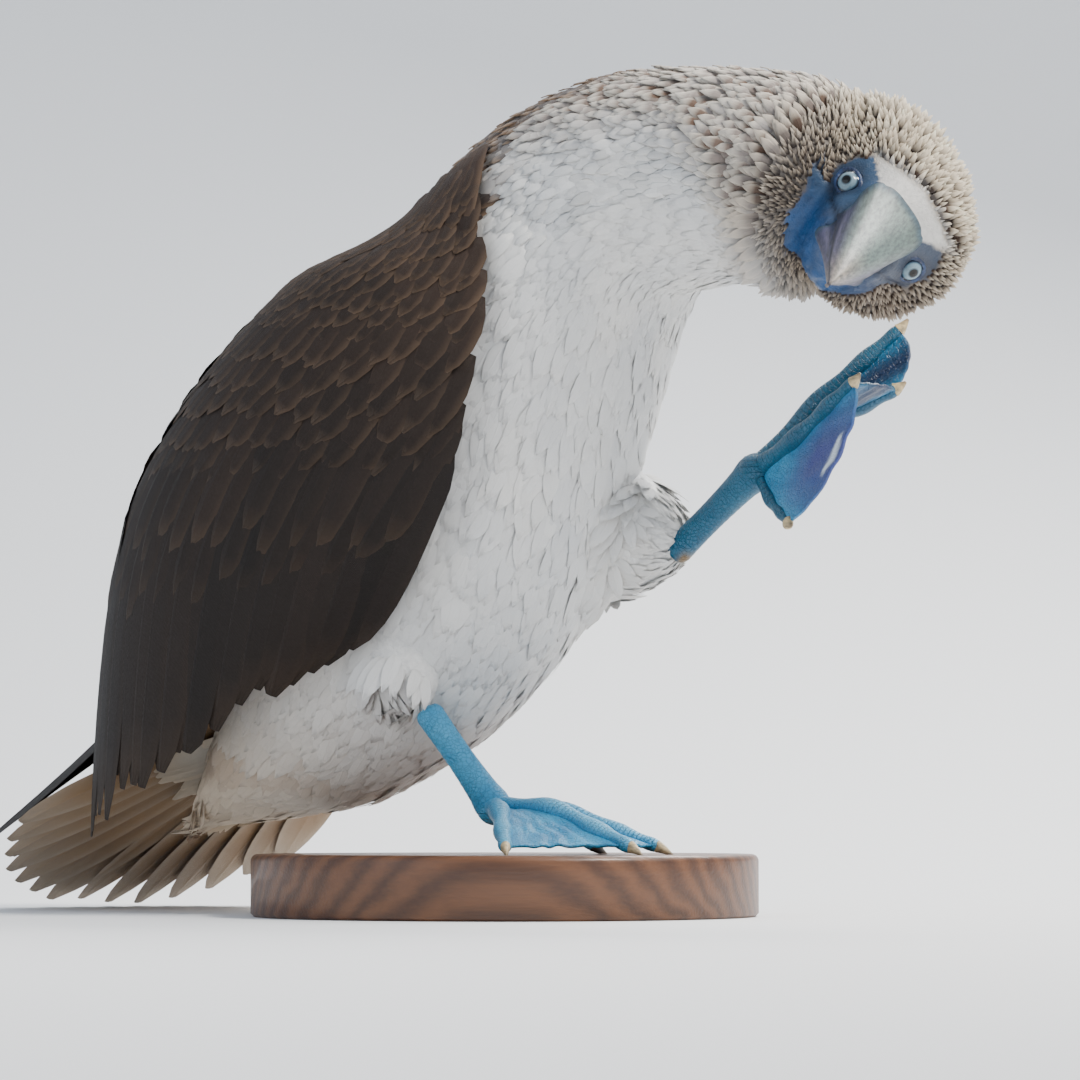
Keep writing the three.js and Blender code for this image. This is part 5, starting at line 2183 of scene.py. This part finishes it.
LEGS = (
    Leg(
        "right", (-7.2, -40, 87), (13, -18, 45),
        (
            Toe(standing_tip(1, -86), 5),
            Toe(standing_tip(52, -78), 6, 4.9),
            Toe(standing_tip(64, -38), 5),
            Toe(standing_tip(38, 2), 3, 3.8),
        ),
        # Painted light: a pale blue laid lightly over the standing leg.
        (0.13, 0.12, 0.2), -1.4, 0.12, srgb(40, 38, 36), 7.5, srgb(96, 186, 232), 0.2,
    ),
    Leg(
        "left", (73.4, 25, 150.7), (114.8, 27, 185),
        (
            Toe((170, 52, 243), 3),
            Toe((173, 44, 217), 4, 4.9),
            Toe((174, 9, 217), -2),
            Toe((144, 6, 160), -3, 2.9),
        ),
        # Painted shade: a dark teal laid strongly over the raised leg.
        (-0.1, -0.08, -0.3), 1.2, 0.95, srgb(206, 184, 140), 5.0, srgb(0, 66, 88), 0.8,
    ),
)


# Base, stage and camera


def lathe(profile: list[tuple[float, float]], sides: int = 160) -> Shell:
    """A turned solid: each profile point's radius round Z at its height."""
    turn = np.linspace(0, 2 * np.pi, sides, endpoint=False)
    outline = np.array(profile)
    rings = np.stack(
        [outline[:, :1] * np.cos(turn), outline[:, :1] * np.sin(turn), outline[:, 1:] + 0 * turn], -1
    )
    return ring_shell(rings)


@dataclass(frozen=True)
class Base:
    """A round wooden base.

    Attributes:
        radius: in mm.
        height: in mm.
        edge: the upper rim's rounding, in mm.
    """

    radius: float = 106.0
    height: float = 26.0
    edge: float = 3.0

    def shell(self) -> Shell:
        """The turned profile with its rounded edge, in the bird's frame."""
        low = [(self.radius - 1.5, 0.0), (self.radius, 1.5)]
        turn = np.linspace(0, np.pi / 2, 7)
        radius, height = self.radius - self.edge, self.height - self.edge
        round_edge = [
            (radius + self.edge * float(np.cos(a)), height + self.edge * float(np.sin(a))) for a in turn
        ]
        flat = [(self.radius - 12, self.height), (1.0, self.height)]
        shell = lathe([(1.0, 0.0), (self.radius - 12, 0.0), *low, *round_edge, *flat])
        shell.points = from_part(shell.points)
        return shell


@dataclass(frozen=True)
class Studio:
    """A pale floor that curves up into a backdrop, soft lights and the camera.

    Attributes:
        eye: the camera's place in metres.
        target: what it looks at.
        lens: in mm.
    """

    eye: tuple[float, float, float] = (0.0147, -1.8, 0.038)
    target: tuple[float, float, float] = (0.0147, 0.0, 0.15746)
    lens: float = 143.17

    def build(self) -> None:
        """Adds everything to the scene."""
        self._backdrop()
        self._light("key", (1.2, -0.7, 1.6), 60.0, 0.5, (1.0, 0.95, 0.88))
        self._light("fill", (-1.5, -1.3, 0.8), 8.0, 1.6, (0.86, 0.92, 1.0))
        self._light("rim", (0.6, 0.9, 1.3), 32.0, 0.8, (1.0, 0.98, 0.95))
        self._world()
        camera = bpy.data.cameras.new("camera")
        camera.lens = self.lens
        camera.sensor_width = 36.0
        holder = linked("camera", camera)
        aim(holder, self.eye, self.target)
        bpy.context.scene.camera = holder

    def _backdrop(self) -> None:
        """A sheet swept along X: floor, quarter round and wall."""
        turn = np.linspace(0, np.pi / 2, 24)
        back = np.concatenate([[-3.0], 0.5 + 2.0 * np.sin(turn), [2.5]])
        high = np.concatenate([[0.0], 2.0 - 2.0 * np.cos(turn), [4.5]])
        wide = np.array([-4.0, 4.0])
        points = np.stack(
            [np.repeat(wide, len(back)), np.tile(back, 2), np.tile(high, 2)], -1
        )
        steps = np.arange(len(back) - 1)
        faces = np.stack([steps, steps + len(back), steps + len(back) + 1, steps + 1], -1)
        mesh = bpy.data.meshes.new("backdrop")
        mesh.from_pydata(points.tolist(), [], faces.tolist())
        mesh.polygons.foreach_set("use_smooth", np.ones(len(faces), bool))
        tree = Tree("pale_paper")
        grain = tree.noise(tree.place(), 300.0, 2.0)
        mesh.materials.append(tree.wear((0.86, 0.87, 0.88), (grain * 0.1 + 0.8).clamp(), None))
        linked("backdrop", mesh)

    def _light(self, name: str, place: tuple, power: float, size: float, colour: Colour) -> None:
        """An area light aimed at the bird."""
        light = bpy.data.lights.new(name, "AREA")
        light.energy = power
        light.size = size
        light.color = colour
        aim(linked(name, light), place, LIGHTS_AIM)

    def _world(self) -> None:
        """A pale even light from all round."""
        world = bpy.data.worlds.new("surround")
        bpy.context.scene.world = world
        world.use_nodes = True
        inputs = world.node_tree.nodes["Background"].inputs
        inputs["Color"].default_value = (0.72, 0.8, 0.92, 1.0)
        inputs["Strength"].default_value = 0.78


def build_body() -> None:
    """The skin, the coat and the head's parts."""
    skin, normal = shaped_skin()
    flesh = ["torso", "neck", "head", "thigh_left", "thigh_right"]
    under = FaceFinish("skin_and_face").material()
    make_piece("skin", skin, under, Slot.WHITE, flesh)
    roots = Roots(skin, normal)
    finishes = {
        Slot.HEAD: PlumageFinish("head_coat", barbs=14.0, relief=0.0001, rough=0.78).material(),
        Slot.WHITE: PlumageFinish("white_coat", barbs=26.0, relief=0.00008, mottle=0.08).material(),
        Slot.BROWN: PlumageFinish("brown_coat", barbs=40.0, relief=0.0001).material(),
    }
    for coat in COATS:
        make_piece(coat.name, coat.grow(roots), finishes[coat.slot], coat.slot, list(coat.replaces))
    horn = HornFinish("bill_horn").material()
    bill = Bill()
    make_piece("bill_upper", bill.shell(True), horn, Slot.BILL, ["bill_upper"])
    make_piece("bill_lower", bill.shell(False), horn, Slot.BILL, ["bill_lower"])
    wet = EyeFinish().material()
    face = FaceFinish("eyelids").material()
    for side in Side:
        name = f"eye_{side.name.lower()}"
        make_piece(name, eye_shell(side.value), wet, Slot.EYE, [name])
        make_piece(f"lid_{side.name.lower()}", lid_shell(side.value), face, Slot.BLUE, ["head"])


def build_wings() -> None:
    """Both wings and the tail."""
    finish = PlumageFinish("wing_vanes", barbs=50.0, relief=0.00012, rough=0.7, sheen=0.02)
    brown = finish.material()
    for wing, seed in ((Wing(Side.LEFT, 0.35, 9.0, 0.07), 21), (Wing(Side.RIGHT, 0.75, 0.0, 0.0), 22)):
        name = f"wing_{wing.side.name.lower()}"
        make_piece(name, wing_shell(wing, seed), brown, Slot.BROWN, [name])
    quill = PlumageFinish("tail_vanes", barbs=90.0, relief=0.00014, rough=0.6).material()
    make_piece("tail", TAIL.shell(), quill, Slot.TAIL, ["tail"])


def build_legs() -> None:
    """Shanks, feet and claws."""
    skin = LegFinish().material()
    horn = HornFinish("claw_horn", streaks=700.0, rough=0.42).material()
    for leg in LEGS:
        make_piece(f"shank_{leg.name}", leg.shank_shell(), skin, Slot.BLUE, leg.nodes("shank"))
        make_piece(f"foot_{leg.name}", leg.foot_shell(), skin, Slot.BLUE, leg.nodes("foot"))
        make_piece(f"claws_{leg.name}", leg.claw_shell(), horn, Slot.CLAW, leg.nodes("claw"))


def main() -> None:
    """Builds the scene in the part's frame."""
    logging.basicConfig(level=logging.INFO, format="%(message)s")
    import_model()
    build_body()
    build_wings()
    build_legs()
    make_piece("stand_base", Base().shell(), WoodFinish().material(), Slot.WOOD, ["stand_base"])
    Studio().build()


if __name__ == "__main__":
    main()
